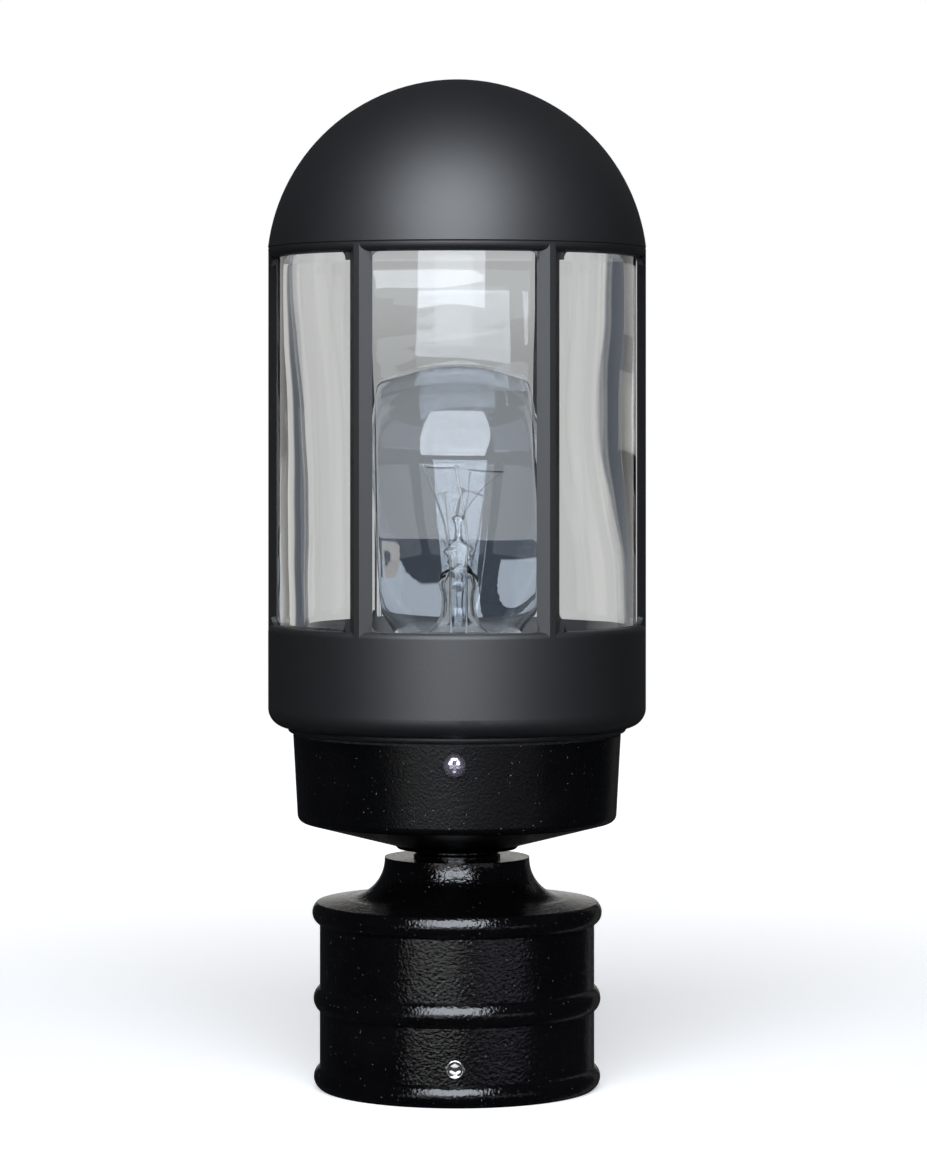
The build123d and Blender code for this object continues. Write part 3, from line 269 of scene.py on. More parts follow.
COLUMN_CROWN = (0.1600, 0.1610)


def hang_card(name, width, foot, top, behind):
    """Hang an upright card behind the lantern, seen through the glass only."""
    bpy.ops.object.select_all(action="DESELECT")
    bpy.ops.mesh.primitive_plane_add(size=1, rotation=(math.radians(90), 0, 0))
    bpy.ops.object.transform_apply()
    card = bpy.context.object
    card.name = name
    card.scale = (width, 1, top - foot)
    card.location = (0, behind, (foot + top) / 2)
    bpy.ops.object.transform_apply()
    card.visible_camera = False
    card.visible_glossy = False
    card.visible_diffuse = False
    card.visible_shadow = False
    return card


def start_print(name):
    """An empty print for a card, with the place across it and the height on it."""
    material = bpy.data.materials.new(name)
    tree = empty_tree(material)
    place = add_node(tree, "ShaderNodeTexCoord", output="Object")
    axes = tree.nodes.new("ShaderNodeSeparateXYZ")
    tree.links.new(place.socket, axes.inputs[0])
    return material, tree, Value(tree, axes.outputs["X"]), Value(tree, axes.outputs["Z"])


def finish_print(tree, shade):
    glow = add_node(tree, "ShaderNodeEmission", None, {"Color": shade, "Strength": 1.0})
    output = tree.nodes.new("ShaderNodeOutputMaterial")
    tree.links.new(glow.socket, output.inputs["Surface"])


paper = hang_card("paper_behind", PAPER_WIDTH, PAPER_FOOT, PAPER_TOP, PAPER_BEHIND)
paper_print, tree, across, height = start_print("shaded_paper")
behind = (across * across).ramp(SHADOW_HALF**2, SHADOW_EDGE**2, 1.0, 0.0)
shade = blend_colours(tree, height.ramp(*LOW_BLEND), SHADED_LOW, SHADED_MIDDLE)
shade = blend_colours(tree, height.ramp(*HIGH_BLEND), shade, SHADED_HIGH)
shade = blend_colours(tree, behind, PAPER, shade)
finish_print(tree, shade)
paper.data.materials.append(paper_print)

foot_card = hang_card(
    "foot_card_behind", FOOT_CARD_WIDTH, FOOT_CARD_FOOT, FOOT_CARD_HEAD, FOOT_CARD_BEHIND
)
foot_print, tree, across, height = start_print("dark_edge_print")
tops = (across < GAP_RIGHT) + (across > GAP_LEFT)
low_tops = tops * (height - across.ramp(*TOP_LINE)).ramp(-TOP_BLUR, TOP_BLUR, 1.0, 0.0)
right_top = (across < GAP_RIGHT) * height.ramp(*RIGHT_TOP, 1.0, 0.0)
shade = blend_colours(tree, (low_tops + right_top).ramp(0.0, 1.0), DARK_EDGE, PALE_TOP)
# A painted dark column under a painted light arch: an image of what the thick glass bends into view there,
# painted on the card.
bend = ((across - ARCH_MIDDLE) / ARCH_HALF) ** 6 * ARCH_BEND
arch = (height + bend).ramp(*ARCH_CROWN, 1.0, 0.0)
shade = blend_colours(tree, arch * (height > ARCH_FOOT), shade, ARCH_PAINTED_LIGHT)
bend = ((across - COLUMN_MIDDLE) / COLUMN_HALF) ** 6 * COLUMN_BEND
column = (height + bend).ramp(*COLUMN_CROWN, 1.0, 0.0)
shade = blend_colours(tree, column, shade, DARK_EDGE)
finish_print(tree, shade)
foot_card.data.materials.append(foot_print)


# ---- Post fitter ----
# One iron casting in gloss black enamel: a collar with a wide socket underneath, three rolled beads
# and a concave foot for the neck.  The enamel has the orange peel of a thick sprayed coat.
def new_finish(name):
    """An empty material with its Principled shader, and the place on the piece."""
    material = bpy.data.materials.new(name)
    tree = empty_tree(material)
    shader = tree.nodes.new("ShaderNodeBsdfPrincipled")
    output = tree.nodes.new("ShaderNodeOutputMaterial")
    tree.links.new(shader.outputs[0], output.inputs["Surface"])
    place = add_node(tree, "ShaderNodeTexCoord", output="Object")
    return material, tree, shader, place


def noise(tree, place, scale, detail=2.0, roughness=0.5, output=0):
    """Fine cloudy noise, by the number of lumps in a metre."""
    inputs = {"Vector": place, "Scale": scale, "Detail": detail, "Roughness": roughness}
    return add_node(tree, "ShaderNodeTexNoise", None, inputs, output)


def feed(tree, shader, **inputs):
    """Set or link the shader's sockets, named with underscores."""
    for name, value in inputs.items():
        socket = shader.inputs[name.replace("_", " ")]
        if isinstance(value, Value):
            tree.links.new(value.socket, socket)
        else:
            socket.default_value = value


def bump(tree, height, depth, strength=1.0):
    inputs = {"Height": height, "Distance": depth, "Strength": strength}
    return add_node(tree, "ShaderNodeBump", None, inputs)


def gloss_black(name, peel_depth, peel_scale, roughness, gloss):
    """Thick sprayed gloss enamel: orange peel, and a few pits and specks."""
    material, tree, shader, place = new_finish(name)
    peel = noise(tree, place, peel_scale, 1.5, 0.5)
    grain = noise(tree, place, 2600, 1.0, 0.5)
    speck = noise(tree, place, 1500, 0.0, 0.5)
    cloud = noise(tree, place, 35, 2.0)
    dust = speck.ramp(0.82, 0.87)
    dark, pale, dust_grey = (0.0010, 0.0010, 0.0011, 1), (0.0022, 0.0020, 0.0023, 1), (0.20, 0.19, 0.22, 1)
    tint = blend_colours(tree, cloud.ramp(0.35, 0.65), dark, pale)
    tint = blend_colours(tree, dust * 0.6, tint, dust_grey)
    feed(
        tree,
        shader,
        Base_Color=tint,
        Roughness=roughness + cloud * 0.06 + dust * 0.15,
        Normal=bump(tree, peel + grain * 0.2 + dust * 0.5, peel_depth),
    )
    shader.inputs["IOR"].default_value = gloss
    return material


def dress(node, material):
    """Give a CAD node its finish."""
    slots = nodes[node].material_slots
    if not slots:
        nodes[node].data.materials.append(material)
    for slot in slots:
        slot.material = material


fitter_enamel = gloss_black("fitter_gloss_enamel", 0.00016, 1000, 0.08, 1.64)
dress("post_fitter", fitter_enamel)


# ---- Set screws ----
# Three short socket screws in bright nickel plate pass the collar's wall and grip what stands in
# its socket.  The thread is rolled, the point is a blunt cone, and the hexagon is broached.
SET_SCREW_HEIGHT = 12.0
SET_SCREW_TIP = 39.3
SET_SCREW_LENGTH = 5.0
SET_SCREW_RADIUS = 2.98
SET_SCREW_ROOT = 2.62
SET_SCREW_PITCH = 0.8
SET_SCREW_POINT = 1.5
SOCKET_CORNER = 1.95
SOCKET_MOUTH = SET_SCREW_LENGTH - 0.45
SOCKET_DEPTH = 2.2
SOCKET_FLOOR_SCALE = 0.96
SOCKET_FLOOR_RISE = 0.2
SCREW_ANGLES = (-90, 30, 150)


def draw_outline(name, outline):
    """Draw an outline of radius and height in the front half of the XZ plane, point by point."""
    bpy.ops.object.select_all(action="DESELECT")
    bpy.ops.mesh.primitive_plane_add(size=MM)
    piece = bpy.context.object
    piece.name = name
    bpy.ops.object.mode_set(mode="EDIT")
    bpy.ops.mesh.select_all(action="SELECT")
    bpy.ops.mesh.merge(type="CENTER")
    place = (0.0, 0.0)
    for number, point in enumerate(outline):
        step = ((point[0] - place[0]) * MM, 0, (point[1] - place[1]) * MM)
        if number == 0:
            bpy.ops.transform.translate(value=step)
        else:
            bpy.ops.mesh.extrude_vertices_move(TRANSFORM_OT_translate={"value": step})
        place = point
    return piece


def turn_outline(name, outline, steps):
    """Spin an outline of radius and height round the axis, and close it where it meets itself."""
    piece = draw_outline(name, outline)
    bpy.ops.mesh.select_all(action="SELECT")
    bpy.ops.mesh.remove_doubles(threshold=0.001 * MM)
    bpy.ops.mesh.spin(steps=steps, angle=math.tau, center=(0, 0, 0), axis=(0, 0, 1))
    bpy.ops.mesh.select_all(action="SELECT")
    bpy.ops.mesh.remove_doubles(threshold=0.001 * MM)
    bpy.ops.mesh.normals_make_consistent(inside=False)
    bpy.ops.object.mode_set(mode="OBJECT")
    bpy.ops.object.shade_smooth_by_angle(angle=math.radians(40))
    return piece


def wind_thread(name, root, crest, pitch, foot, top, steps):
    """Wind a thread from one pitch of its profile, and cut it flat at both ends."""
    profile = [(root, 0), (root, pitch * 0.12), (crest, pitch * 0.45), (crest, pitch * 0.6), (root, pitch)]
    turns = math.ceil((top - foot) / pitch) + 2
    piece = draw_outline(name, [(radius, foot - pitch + rise) for radius, rise in profile])
    bpy.ops.object.mode_set(mode="OBJECT")
    bpy.ops.object.modifier_add(type="SCREW")
    winding = piece.modifiers[-1]
    winding.screw_offset = pitch * MM
    winding.iterations = turns
    winding.steps = winding.render_steps = steps
    bpy.ops.object.modifier_apply(modifier=winding.name)
    for vertex in piece.data.vertices:
        vertex.co.z = min(max(vertex.co.z, foot * MM), top * MM)
    tidy_mesh(piece)
    return piece


def tidy_mesh(piece):
    """Merge what meets, turn every face outwards and smooth the round parts."""
    bpy.ops.object.select_all(action="DESELECT")
    piece.select_set(True)
    bpy.context.view_layer.objects.active = piece
    bpy.ops.object.mode_set(mode="EDIT")
    bpy.ops.mesh.select_all(action="SELECT")
    bpy.ops.mesh.remove_doubles(threshold=0.002 * MM)
    bpy.ops.mesh.dissolve_degenerate(threshold=0.001 * MM)
    bpy.ops.mesh.normals_make_consistent(inside=False)
    bpy.ops.object.mode_set(mode="OBJECT")
    bpy.ops.object.shade_smooth_by_angle(angle=math.radians(32))


def join_pieces(name, *pieces):
    """Join meshes into the last one."""
    bpy.ops.object.select_all(action="DESELECT")
    for piece in pieces:
        piece.select_set(True)
    bpy.context.view_layer.objects.active = pieces[-1]
    bpy.ops.object.join()
    pieces[-1].name = name
    return pieces[-1]


def cut_socket(name, body, corners, mouth, depth, floor_scale, floor_rise):
    """Sink a recess with straight sides into the open top of a turned screw."""
    bpy.ops.object.select_all(action="DESELECT")
    bpy.ops.mesh.primitive_plane_add(size=MM)
    recess = bpy.context.object
    bpy.ops.object.mode_set(mode="EDIT")
    bpy.ops.mesh.select_all(action="SELECT")
    bpy.ops.mesh.merge(type="CENTER")
    bpy.ops.transform.translate(value=(corners[0][0] * MM, corners[0][1] * MM, mouth * MM))
    for before, after in zip(corners, corners[1:] + corners[:1]):
        step = ((after[0] - before[0]) * MM, (after[1] - before[1]) * MM, 0)
        bpy.ops.mesh.extrude_vertices_move(TRANSFORM_OT_translate={"value": step})
    bpy.ops.mesh.select_all(action="SELECT")
    bpy.ops.mesh.remove_doubles(threshold=0.002 * MM)
    bpy.ops.mesh.select_all(action="SELECT")
    bpy.ops.mesh.subdivide(number_cuts=36 // len(corners) - 1)
    bpy.ops.object.mode_set(mode="OBJECT")
    piece = join_pieces(name, recess, body)
    bpy.ops.object.mode_set(mode="EDIT")
    bpy.ops.mesh.select_mode(type="EDGE")
    bpy.ops.mesh.select_all(action="DESELECT")
    bpy.ops.mesh.select_non_manifold(extend=False, use_wire=True, use_boundary=True)
    bpy.ops.mesh.bridge_edge_loops()
    bpy.ops.mesh.select_all(action="DESELECT")
    bpy.ops.mesh.select_non_manifold(extend=False, use_wire=True, use_boundary=True)
    bpy.ops.mesh.extrude_edges_move(TRANSFORM_OT_translate={"value": (0, 0, -depth * MM)})
    bpy.ops.transform.resize(value=(floor_scale, floor_scale, 1), center_override=(0, 0, 0))
    bpy.ops.mesh.edge_face_add()
    bpy.ops.mesh.poke(offset=floor_rise * MM)
    bpy.ops.mesh.select_mode(type="VERT")
    bpy.ops.object.mode_set(mode="OBJECT")
    tidy_mesh(piece)
    return piece


def set_round_collar(screw, name, angle, tip_radius, height):
    """Copy a screw that points up the axis, and lay it out from the axis at an angle."""
    copy = screw.copy()
    copy.data = screw.data.copy()
    copy.name = name
    bpy.context.scene.collection.objects.link(copy)
    bpy.ops.object.select_all(action="DESELECT")
    copy.select_set(True)
    bpy.context.view_layer.objects.active = copy
    copy.rotation_euler = (0, math.radians(90), math.radians(angle))
    turn = math.radians(angle)
    copy.location = (tip_radius * MM * math.cos(turn), tip_radius * MM * math.sin(turn), height * MM)
    bpy.ops.object.transform_apply()
    return copy


def bright_metal(name, colour, roughness, grain=(1, 1, 1), specks=0.1, metallic=1.0):
    """Plated or turned metal: a thin stain, and fine tool lines where the grain is drawn out."""
    material, tree, shader, place = new_finish(name)
    stretched = add_node(tree, "ShaderNodeMapping", None, {"Vector": place, "Scale": grain})
    stain = noise(tree, place, 240, 3.0)
    lines = noise(tree, stretched, 1500, 3.0, 0.6)
    dull = tuple(part * 0.74 for part in colour[:3]) + (1,)
    feed(
        tree,
        shader,
        Base_Color=blend_colours(tree, stain.ramp(0.3, 0.7), dull, colour),
        Roughness=roughness + lines * specks,
        Normal=bump(tree, lines, 0.000006),
    )
    shader.inputs["Metallic"].default_value = metallic
    return material


corner_angles = [math.radians(angle) for angle in range(0, 360, 60)]
hexagon = [(SOCKET_CORNER * math.cos(angle), SOCKET_CORNER * math.sin(angle)) for angle in corner_angles]
plain_top = SET_SCREW_LENGTH - 0.4
set_screw_body = turn_outline(
    "set_screw_body",
    [(0, 0), (1.3, 0), (SET_SCREW_ROOT, SET_SCREW_POINT - 0.1), (SET_SCREW_ROOT, plain_top - 0.1),
     (SET_SCREW_RADIUS, plain_top), (2.93, SET_SCREW_LENGTH - 0.2), (2.8, SET_SCREW_LENGTH - 0.07),
     (2.6, SET_SCREW_LENGTH), (2.4, SET_SCREW_LENGTH - 0.04), (2.25, SET_SCREW_LENGTH - 0.15)],
    36,
)
set_screw_body = cut_socket(
    "set_screw_head", set_screw_body, hexagon, SOCKET_MOUTH, SOCKET_DEPTH, SOCKET_FLOOR_SCALE, SOCKET_FLOOR_RISE
)
thread_foot = SET_SCREW_POINT - 0.5
set_screw_thread = wind_thread(
    "set_screw_thread", SET_SCREW_ROOT - 0.05, SET_SCREW_RADIUS, SET_SCREW_PITCH, thread_foot, plain_top, 36
)
set_screw = join_pieces("set_screw_pattern", set_screw_thread, set_screw_body)
nickel_plate = bright_metal("set_screw_nickel_plate", (0.80, 0.79, 0.78, 1), 0.07, specks=0.08, metallic=0.95)
set_screw.data.materials.append(nickel_plate)
for number, angle in enumerate(SCREW_ANGLES, start=1):
    copy = set_round_collar(set_screw, f"threaded_set_screw_{number}", angle, SET_SCREW_TIP, SET_SCREW_HEIGHT)
    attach(copy, f"set_screw_{number}")
    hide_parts(f"set_screw_{number}")
bpy.data.objects.remove(set_screw)

# ---- Neck ring ----
# A turned steel ring between the fitter and the canopy, grooved round its middle and sprayed with
# the fitter.
dress("neck_ring", fitter_enamel)

# ---- Nipple ----
# A zinc plated steel pipe, threaded all along, that draws fitter, neck ring, canopy and bracket
# together and carries the lampholder.  The wires run up its bore.
NIPPLE_FOOT = 61.4
NIPPLE_TOP = 93.45
NIPPLE_CREST = 5.0
NIPPLE_ROOT = 4.55
NIPPLE_BORE = 3.4
NIPPLE_PITCH = 1.0
pipe_wall = [(NIPPLE_BORE, NIPPLE_FOOT), (NIPPLE_ROOT + 0.02, NIPPLE_FOOT), (NIPPLE_ROOT + 0.02, NIPPLE_TOP)]
pipe_wall += [(NIPPLE_BORE, NIPPLE_TOP), (NIPPLE_BORE, NIPPLE_FOOT)]
pipe = turn_outline("nipple_pipe", pipe_wall, 40)
pipe_thread = wind_thread(
    "nipple_thread", NIPPLE_ROOT, NIPPLE_CREST, NIPPLE_PITCH, NIPPLE_FOOT, NIPPLE_TOP, 40
)
nipple = join_pieces("threaded_nipple", pipe_thread, pipe)
zinc_plate = bright_metal("zinc_plate", (0.60, 0.61, 0.62, 1), 0.26, (1, 1, 1), 0.14)
nipple.data.materials.append(zinc_plate)
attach(nipple, "root")
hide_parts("nipple")

# ---- Locknuts ----
# Two thin hexagon nuts on the nipple, cut from bar and zinc plated.  The lower one pulls up under
# the fitter's crown and the upper one holds the bracket down.
for nut in ("lower_locknut", "upper_locknut"):
    dress(nut, zinc_plate)

# ---- Lock washers ----
# A split spring washer lies under each locknut, coiled from flat wire and zinc plated a little
# duller than the nuts.
washer_plate = bright_metal("washer_zinc_plate", (0.55, 0.55, 0.54, 1), 0.34, (1, 1, 6), 0.16)
for washer in ("lower_lock_washer", "upper_lock_washer"):
    dress(washer, washer_plate)

# ---- Canopy ----
# A cast cup with a shallow cone underneath, in the same gloss enamel laid on a little thinner.  It
# closes the cage from below, and its wall takes the canopy screws.
canopy_enamel = gloss_black("canopy_gloss_enamel", 0.00009, 1100, 0.27, 1.46)
dress("canopy", canopy_enamel)

# ---- Bracket ----
# A pressed steel plate with three turned up arms, tapped for the canopy screws and zinc plated.
# The nipple passes it and the upper locknut holds it down in the canopy.
bracket_plate = bright_metal("bracket_zinc_plate", (0.58, 0.58, 0.56, 1), 0.30, (14, 1, 1), 0.18)
dress("screw_bracket", bracket_plate)

# ---- Ground screw ----
# A hexagon head screw with a slot, zinc plated and dyed green, so that the ground wire is put under
# the right one.  It is driven into the bracket beside the nipple.
green_coat, tree, shader, place = new_finish("green_dyed_zinc")
wear = noise(tree, place, 700, 3.0)
feed(
    tree,
    shader,
    Base_Color=blend_colours(tree, wear.ramp(0.35, 0.7), (0.020, 0.20, 0.055, 1), (0.07, 0.36, 0.12, 1)),
    Roughness=0.28 + wear * 0.14,
    Normal=bump(tree, wear, 0.00001),
)
shader.inputs["Metallic"].default_value = 0.6
dress("ground_screw", green_coat)

# ---- Lampholder cap ----
# Cast aluminium, turned on its face and tapped for the nipple.  It screws onto the nipple's end and
# carries the porcelain.
cap_metal = bright_metal("cast_aluminium", (0.66, 0.66, 0.67, 1), 0.38, (1, 1, 10), 0.2)
dress("lampholder_cap", cap_metal)

# ---- Lampholder body ----
# White glazed porcelain, pressed in one piece with a well for the centre contact and a pocket for
# each terminal.  The glaze pools in fine ripples and holds a few dark specks.
glaze, tree, shader, place = new_finish("white_porcelain_glaze")
pool = noise(tree, place, 90, 2.0)
speck = noise(tree, place, 2400, 1.0)
body_colour = blend_colours(tree, pool, (0.78, 0.77, 0.72, 1), (0.86, 0.85, 0.82, 1))
body_colour = blend_colours(tree, speck.ramp(0.74, 0.78), body_colour, (0.35, 0.30, 0.24, 1))
feed(tree, shader, Base_Color=body_colour, Roughness=0.12 + pool * 0.08, Normal=bump(tree, pool, 0.00025))
dress("lampholder_body", glaze)

# ---- Lampholder screws ----
# Two zinc plated steel screws that come up through the cap and hold the porcelain down on it.
# Their heads bear on the cap's underside, one each side of the nipple.
dress("lampholder_screws", zinc_plate)

# ---- Screw shell ----
# Aluminium sheet, deep drawn and rolled with a coarse round thread, and pressed into the porcelain.
# A tab at its foot runs out to the neutral terminal.
SHELL_FOOT = 116.5
SHELL_TOP = 141.5
SHELL_TURNS_TOP = 139.6
SHELL_TURNS_FOOT = 118.4
SHELL_RADIUS = 13.66
SHELL_THREAD_DEPTH = 0.22
SHELL_OUTSIDE = 13.88
SHELL_SHEET = 0.02
SHELL_EYE = 8.5
TAB_SIZE = (2.7 * MM, 6.0 * MM, 0.5 * MM)
TAB_MIDDLE = -14.65
LAMP_PITCH = 3.63


def spread(low, high, count):
    return [low + (high - low) * index / count for index in range(count + 1)]


def smooth_step(value, low, high):
    share = min(max((value - low) / (high - low), 0), 1)
    return share * share * (3 - 2 * share)


def roll_thread(name, middle, depth, foot, top):
    """Roll a round thread in thin sheet, plain at both ends."""
    spots = spread(0, LAMP_PITCH, 8)
    profile = [(middle, foot - LAMP_PITCH + rise) for rise in spots]
    turns = math.ceil((top - foot) / LAMP_PITCH) + 2
    piece = draw_outline(name, profile)
    bpy.ops.object.mode_set(mode="OBJECT")
    bpy.ops.object.modifier_add(type="SCREW")
    winding = piece.modifiers[-1]
    winding.screw_offset = LAMP_PITCH * MM
    winding.iterations = turns
    winding.steps = winding.render_steps = 48
    bpy.ops.object.modifier_apply(modifier=winding.name)
    for vertex in piece.data.vertices:
        x, y, z = vertex.co
        turn = math.atan2(y, x) - math.tau * (z / MM - foot) / LAMP_PITCH
        ends = smooth_step(z / MM, foot, foot + 1.6) * smooth_step(-z / MM, -top, 1.6 - top)
        radius = (middle + depth * ends * math.cos(turn)) * MM / math.hypot(x, y)
        vertex.co = (x * radius, y * radius, min(max(z, foot * MM), top * MM))
    tidy_mesh(piece)
    return piece


def give_wall(piece, thickness, side):
    """Give thin sheet its thickness, inwards or outwards."""
    bpy.ops.object.select_all(action="DESELECT")
    piece.select_set(True)
    bpy.context.view_layer.objects.active = piece
    bpy.ops.object.modifier_add(type="SOLIDIFY")
    wall = piece.modifiers[-1]
    wall.thickness = thickness * MM
    wall.offset = side
    bpy.ops.object.modifier_apply(modifier=wall.name)
    bpy.ops.object.shade_smooth_by_angle(angle=math.radians(40))


shell_turns = roll_thread("shell_turns", SHELL_RADIUS, SHELL_THREAD_DEPTH, SHELL_TURNS_FOOT, SHELL_TURNS_TOP)
give_wall(shell_turns, SHELL_SHEET, 0.0)
shell_lip = turn_outline(
    "shell_lip",
    [(SHELL_RADIUS, SHELL_TURNS_TOP - 0.05), (SHELL_RADIUS, SHELL_TOP - 0.4), (13.78, SHELL_TOP - 0.1),
     (SHELL_OUTSIDE, SHELL_TOP), (SHELL_OUTSIDE, SHELL_TURNS_TOP), (SHELL_RADIUS, SHELL_TURNS_TOP - 0.05)],
    48,
)
shell_floor = turn_outline(
    "shell_floor",
    [(SHELL_EYE, SHELL_FOOT), (13.4, SHELL_FOOT), (SHELL_OUTSIDE, SHELL_FOOT + 0.6),
     (SHELL_OUTSIDE, SHELL_TURNS_FOOT + 0.1), (13.5, SHELL_TURNS_FOOT + 0.1), (13.4, SHELL_FOOT + 0.9),
     (13.0, SHELL_FOOT + 0.5), (SHELL_EYE, SHELL_FOOT + 0.5), (SHELL_EYE, SHELL_FOOT)],
    48,
)
bpy.ops.object.select_all(action="DESELECT")
bpy.ops.mesh.primitive_cube_add(size=1)
shell_tab = bpy.context.object
shell_tab.scale = TAB_SIZE
shell_tab.location = (TAB_MIDDLE * MM, 0, (SHELL_FOOT + 0.25) * MM)
bpy.ops.object.transform_apply()
bpy.ops.object.mode_set(mode="EDIT")
bpy.ops.mesh.select_all(action="SELECT")
bpy.ops.mesh.bevel(offset=0.12 * MM, segments=2)
bpy.ops.object.mode_set(mode="OBJECT")
shell = join_pieces("rolled_screw_shell", shell_turns, shell_lip, shell_tab, shell_floor)
shell_metal = bright_metal("rolled_aluminium", (0.72, 0.72, 0.73, 1), 0.2, (1, 1, 10), 0.12)
shell.data.materials.append(shell_metal)
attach(shell, "root")
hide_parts("screw_shell")

# ---- Centre contact ----
# Brass strip bent to a springy tongue under the lamp's tip.  It runs out through the porcelain to
# the live terminal.
contact_brass = bright_metal("bent_brass_strip", (0.74, 0.53, 0.23, 1), 0.24, (1, 12, 1), 0.14)
dress("centre_contact", contact_brass)

# ---- Terminal plates ----
# Two plates stamped from the same brass and tapped, one in each pocket of the porcelain, for the
# live and the neutral wire.
dress("terminal_plates", contact_brass)

# ---- Terminal screws ----
# A slotted brass screw in each terminal plate, turned out to take the end of a wire and driven
# down on it.
dress("terminal_screws", contact_brass)

# ---- Bulb: envelope ----
# A clear pear shaped bulb blown from thin soda glass.  Its crown is a plain round cap, and its
# neck runs down into the screw base.
BULB_CROWN_HEIGHT = 231.5
BULB_RADIUS = 30.15
BULB_MIDDLE = BULB_CROWN_HEIGHT - BULB_RADIUS
BULB_WALL = 0.7
BULB_NECK = [(28.9, 192.0), (26.9, 181.0), (24.4, 172.0), (21.6, 163.5)]
BULB_NECK += [(18.2, 154.5), (14.4, 147.5), (12.4, 141.0)]


def pull(t, a, b, c, d):
    """A place between two numbers, on the curve that their neighbours pull on."""
    return 0.5 * (2 * b + (c - a) * t + (2 * a - 5 * b + 4 * c - d) * t**2 + (3 * b - a - 3 * c + d) * t**3)


def smooth_line(points, per_span):
    """Points along the smooth curve that runs through all the given ones."""
    line = []
    for index in range(len(points) - 1):
        before = points[max(index - 1, 0)]
        first, second = points[index], points[index + 1]
        after = points[min(index + 2, len(points) - 1)]
        for step in range(per_span):
            t = step / per_span
            line.append(tuple(pull(t, *places) for places in zip(before, first, second, after)))
    return line + [points[-1]]


def clear_glass(name, tint):
    material, tree, shader, place = new_finish(name)
    feed(tree, shader, Base_Color=tint)
    shader.inputs["Roughness"].default_value = 0.0
    shader.inputs["Transmission Weight"].default_value = 1.0
    shader.inputs["IOR"].default_value = 1.5
    return material


def bulb_skin(inset):
    """The bulb's outline from crown to neck, set in by a thickness."""
    radius = BULB_RADIUS - inset
    lifts = [math.radians(lift) for lift in range(90, -13, -6)]
    cap = [(radius * math.cos(lift), BULB_MIDDLE + radius * math.sin(lift)) for lift in lifts]
    cap[0] = (0, cap[0][1])
    neck = [(r - inset, z) for r, z in BULB_NECK]
    return cap + smooth_line([cap[-1]] + neck, 4)[1:]


envelope = turn_outline("bulb_clear_envelope", bulb_skin(0) + bulb_skin(BULB_WALL)[::-1], 96)
bulb_glass = clear_glass("thin_bulb_glass", (0.90, 0.925, 0.96, 1))
envelope.data.materials.append(bulb_glass)
envelope.visible_shadow = False
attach(envelope, "bulb")
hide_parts("bulb_envelope")

# ---- Bulb: stem ----
# A flared glass tube sealed into the neck.  Its top is pinched flat over the wires while hot, and
# a thin glass rod with a button on it stands on the pinch.
STEM_OUTLINE = [(11.2, 141.0), (9.4, 143.6), (5.8, 146.8), (4.1, 150.4)]
STEM_OUTLINE += [(3.6, 154.5), (3.7, 158.0), (4.2, 161.4)]
PINCH_OUTLINE = [(3.6, 164.0), (1.9, 166.6), (2.3, 169.6), (2.8, 171.8)]
PINCH_OUTLINE += [(2.0, 173.8), (0.9, 175.4), (0.7, 178.6)]
BUTTON_OUTLINE = [(0.9, 180.2), (1.45, 181.4), (1.2, 182.5), (0, 182.9)]
STEM_BORE = [(0, 168.0), (0.8, 167.2), (1.2, 165.8), (2.5, 163.4), (3.2, 161.0), (2.8, 157.5)]
STEM_BORE += [(2.7, 154.0), (3.2, 150.6), (4.9, 147.4), (8.6, 144.2), (10.5, 141.0)]
PINCH_FLATNESS = 0.42
PINCH_SPREAD = 0.12
PINCH_TWIST = 0.35
outside = smooth_line(STEM_OUTLINE + PINCH_OUTLINE + BUTTON_OUTLINE, 4)
inside = smooth_line(STEM_BORE, 4)
stem = turn_outline("bulb_pinched_stem", inside + outside, 40)
for vertex in stem.data.vertices:
    x, y, z = vertex.co
    press = smooth_step(z / MM, 160.5, 165.5) * smooth_step(-z / MM, -176, -172.5)
    twist = PINCH_TWIST * MM * press * math.sin(z / MM * 1.9)
    vertex.co = (x * (1 + PINCH_SPREAD * press) + twist, y * (1 - (1 - PINCH_FLATNESS) * press), z)
stem.data.update()
stem_glass = clear_glass("stem_lead_glass", (0.95, 0.965, 0.98, 1))
stem.data.materials.append(stem_glass)
stem.visible_shadow = False
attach(stem, "bulb")
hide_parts("bulb_stem")

# ---- Bulb: wires ----
# Two nickel leads come up through the pinch, bent outwards, with hooks that hold the filament's
# ends, and two finer molybdenum hooks stand in the button.
LEAD_RADIUS = 0.24
HOOK_RADIUS = 0.10


def draw_wire(name, radius, *routes):
    """Bend round wires through their points, join them and make them one mesh."""
    wires = []
    for route in routes:
        bpy.ops.object.select_all(action="DESELECT")
        bpy.ops.curve.primitive_nurbs_path_add()
        wire = bpy.context.object
        wire.data.splines.clear()
        spline = wire.data.splines.new("NURBS")
        spline.points.add(len(route) - 1)
        for point, place in zip(spline.points, route):
            point.co = (place[0] * MM, place[1] * MM, place[2] * MM, 1)
        spline.order_u = 3
        spline.use_endpoint_u = True
        wire.data.resolution_u = 6
        wire.data.bevel_depth = radius * MM
        wire.data.bevel_resolution = 2
        wire.data.use_fill_caps = True
        bpy.ops.object.convert(target="MESH")
        wires.append(bpy.context.object)
    for wire in wires:
        wire.select_set(True)
    bpy.context.view_layer.objects.active = wires[0]
    if len(wires) > 1:
        bpy.ops.object.join()
    wires[0].name = name
    bpy.ops.object.shade_smooth_by_angle(angle=math.radians(50))
    return wires[0]


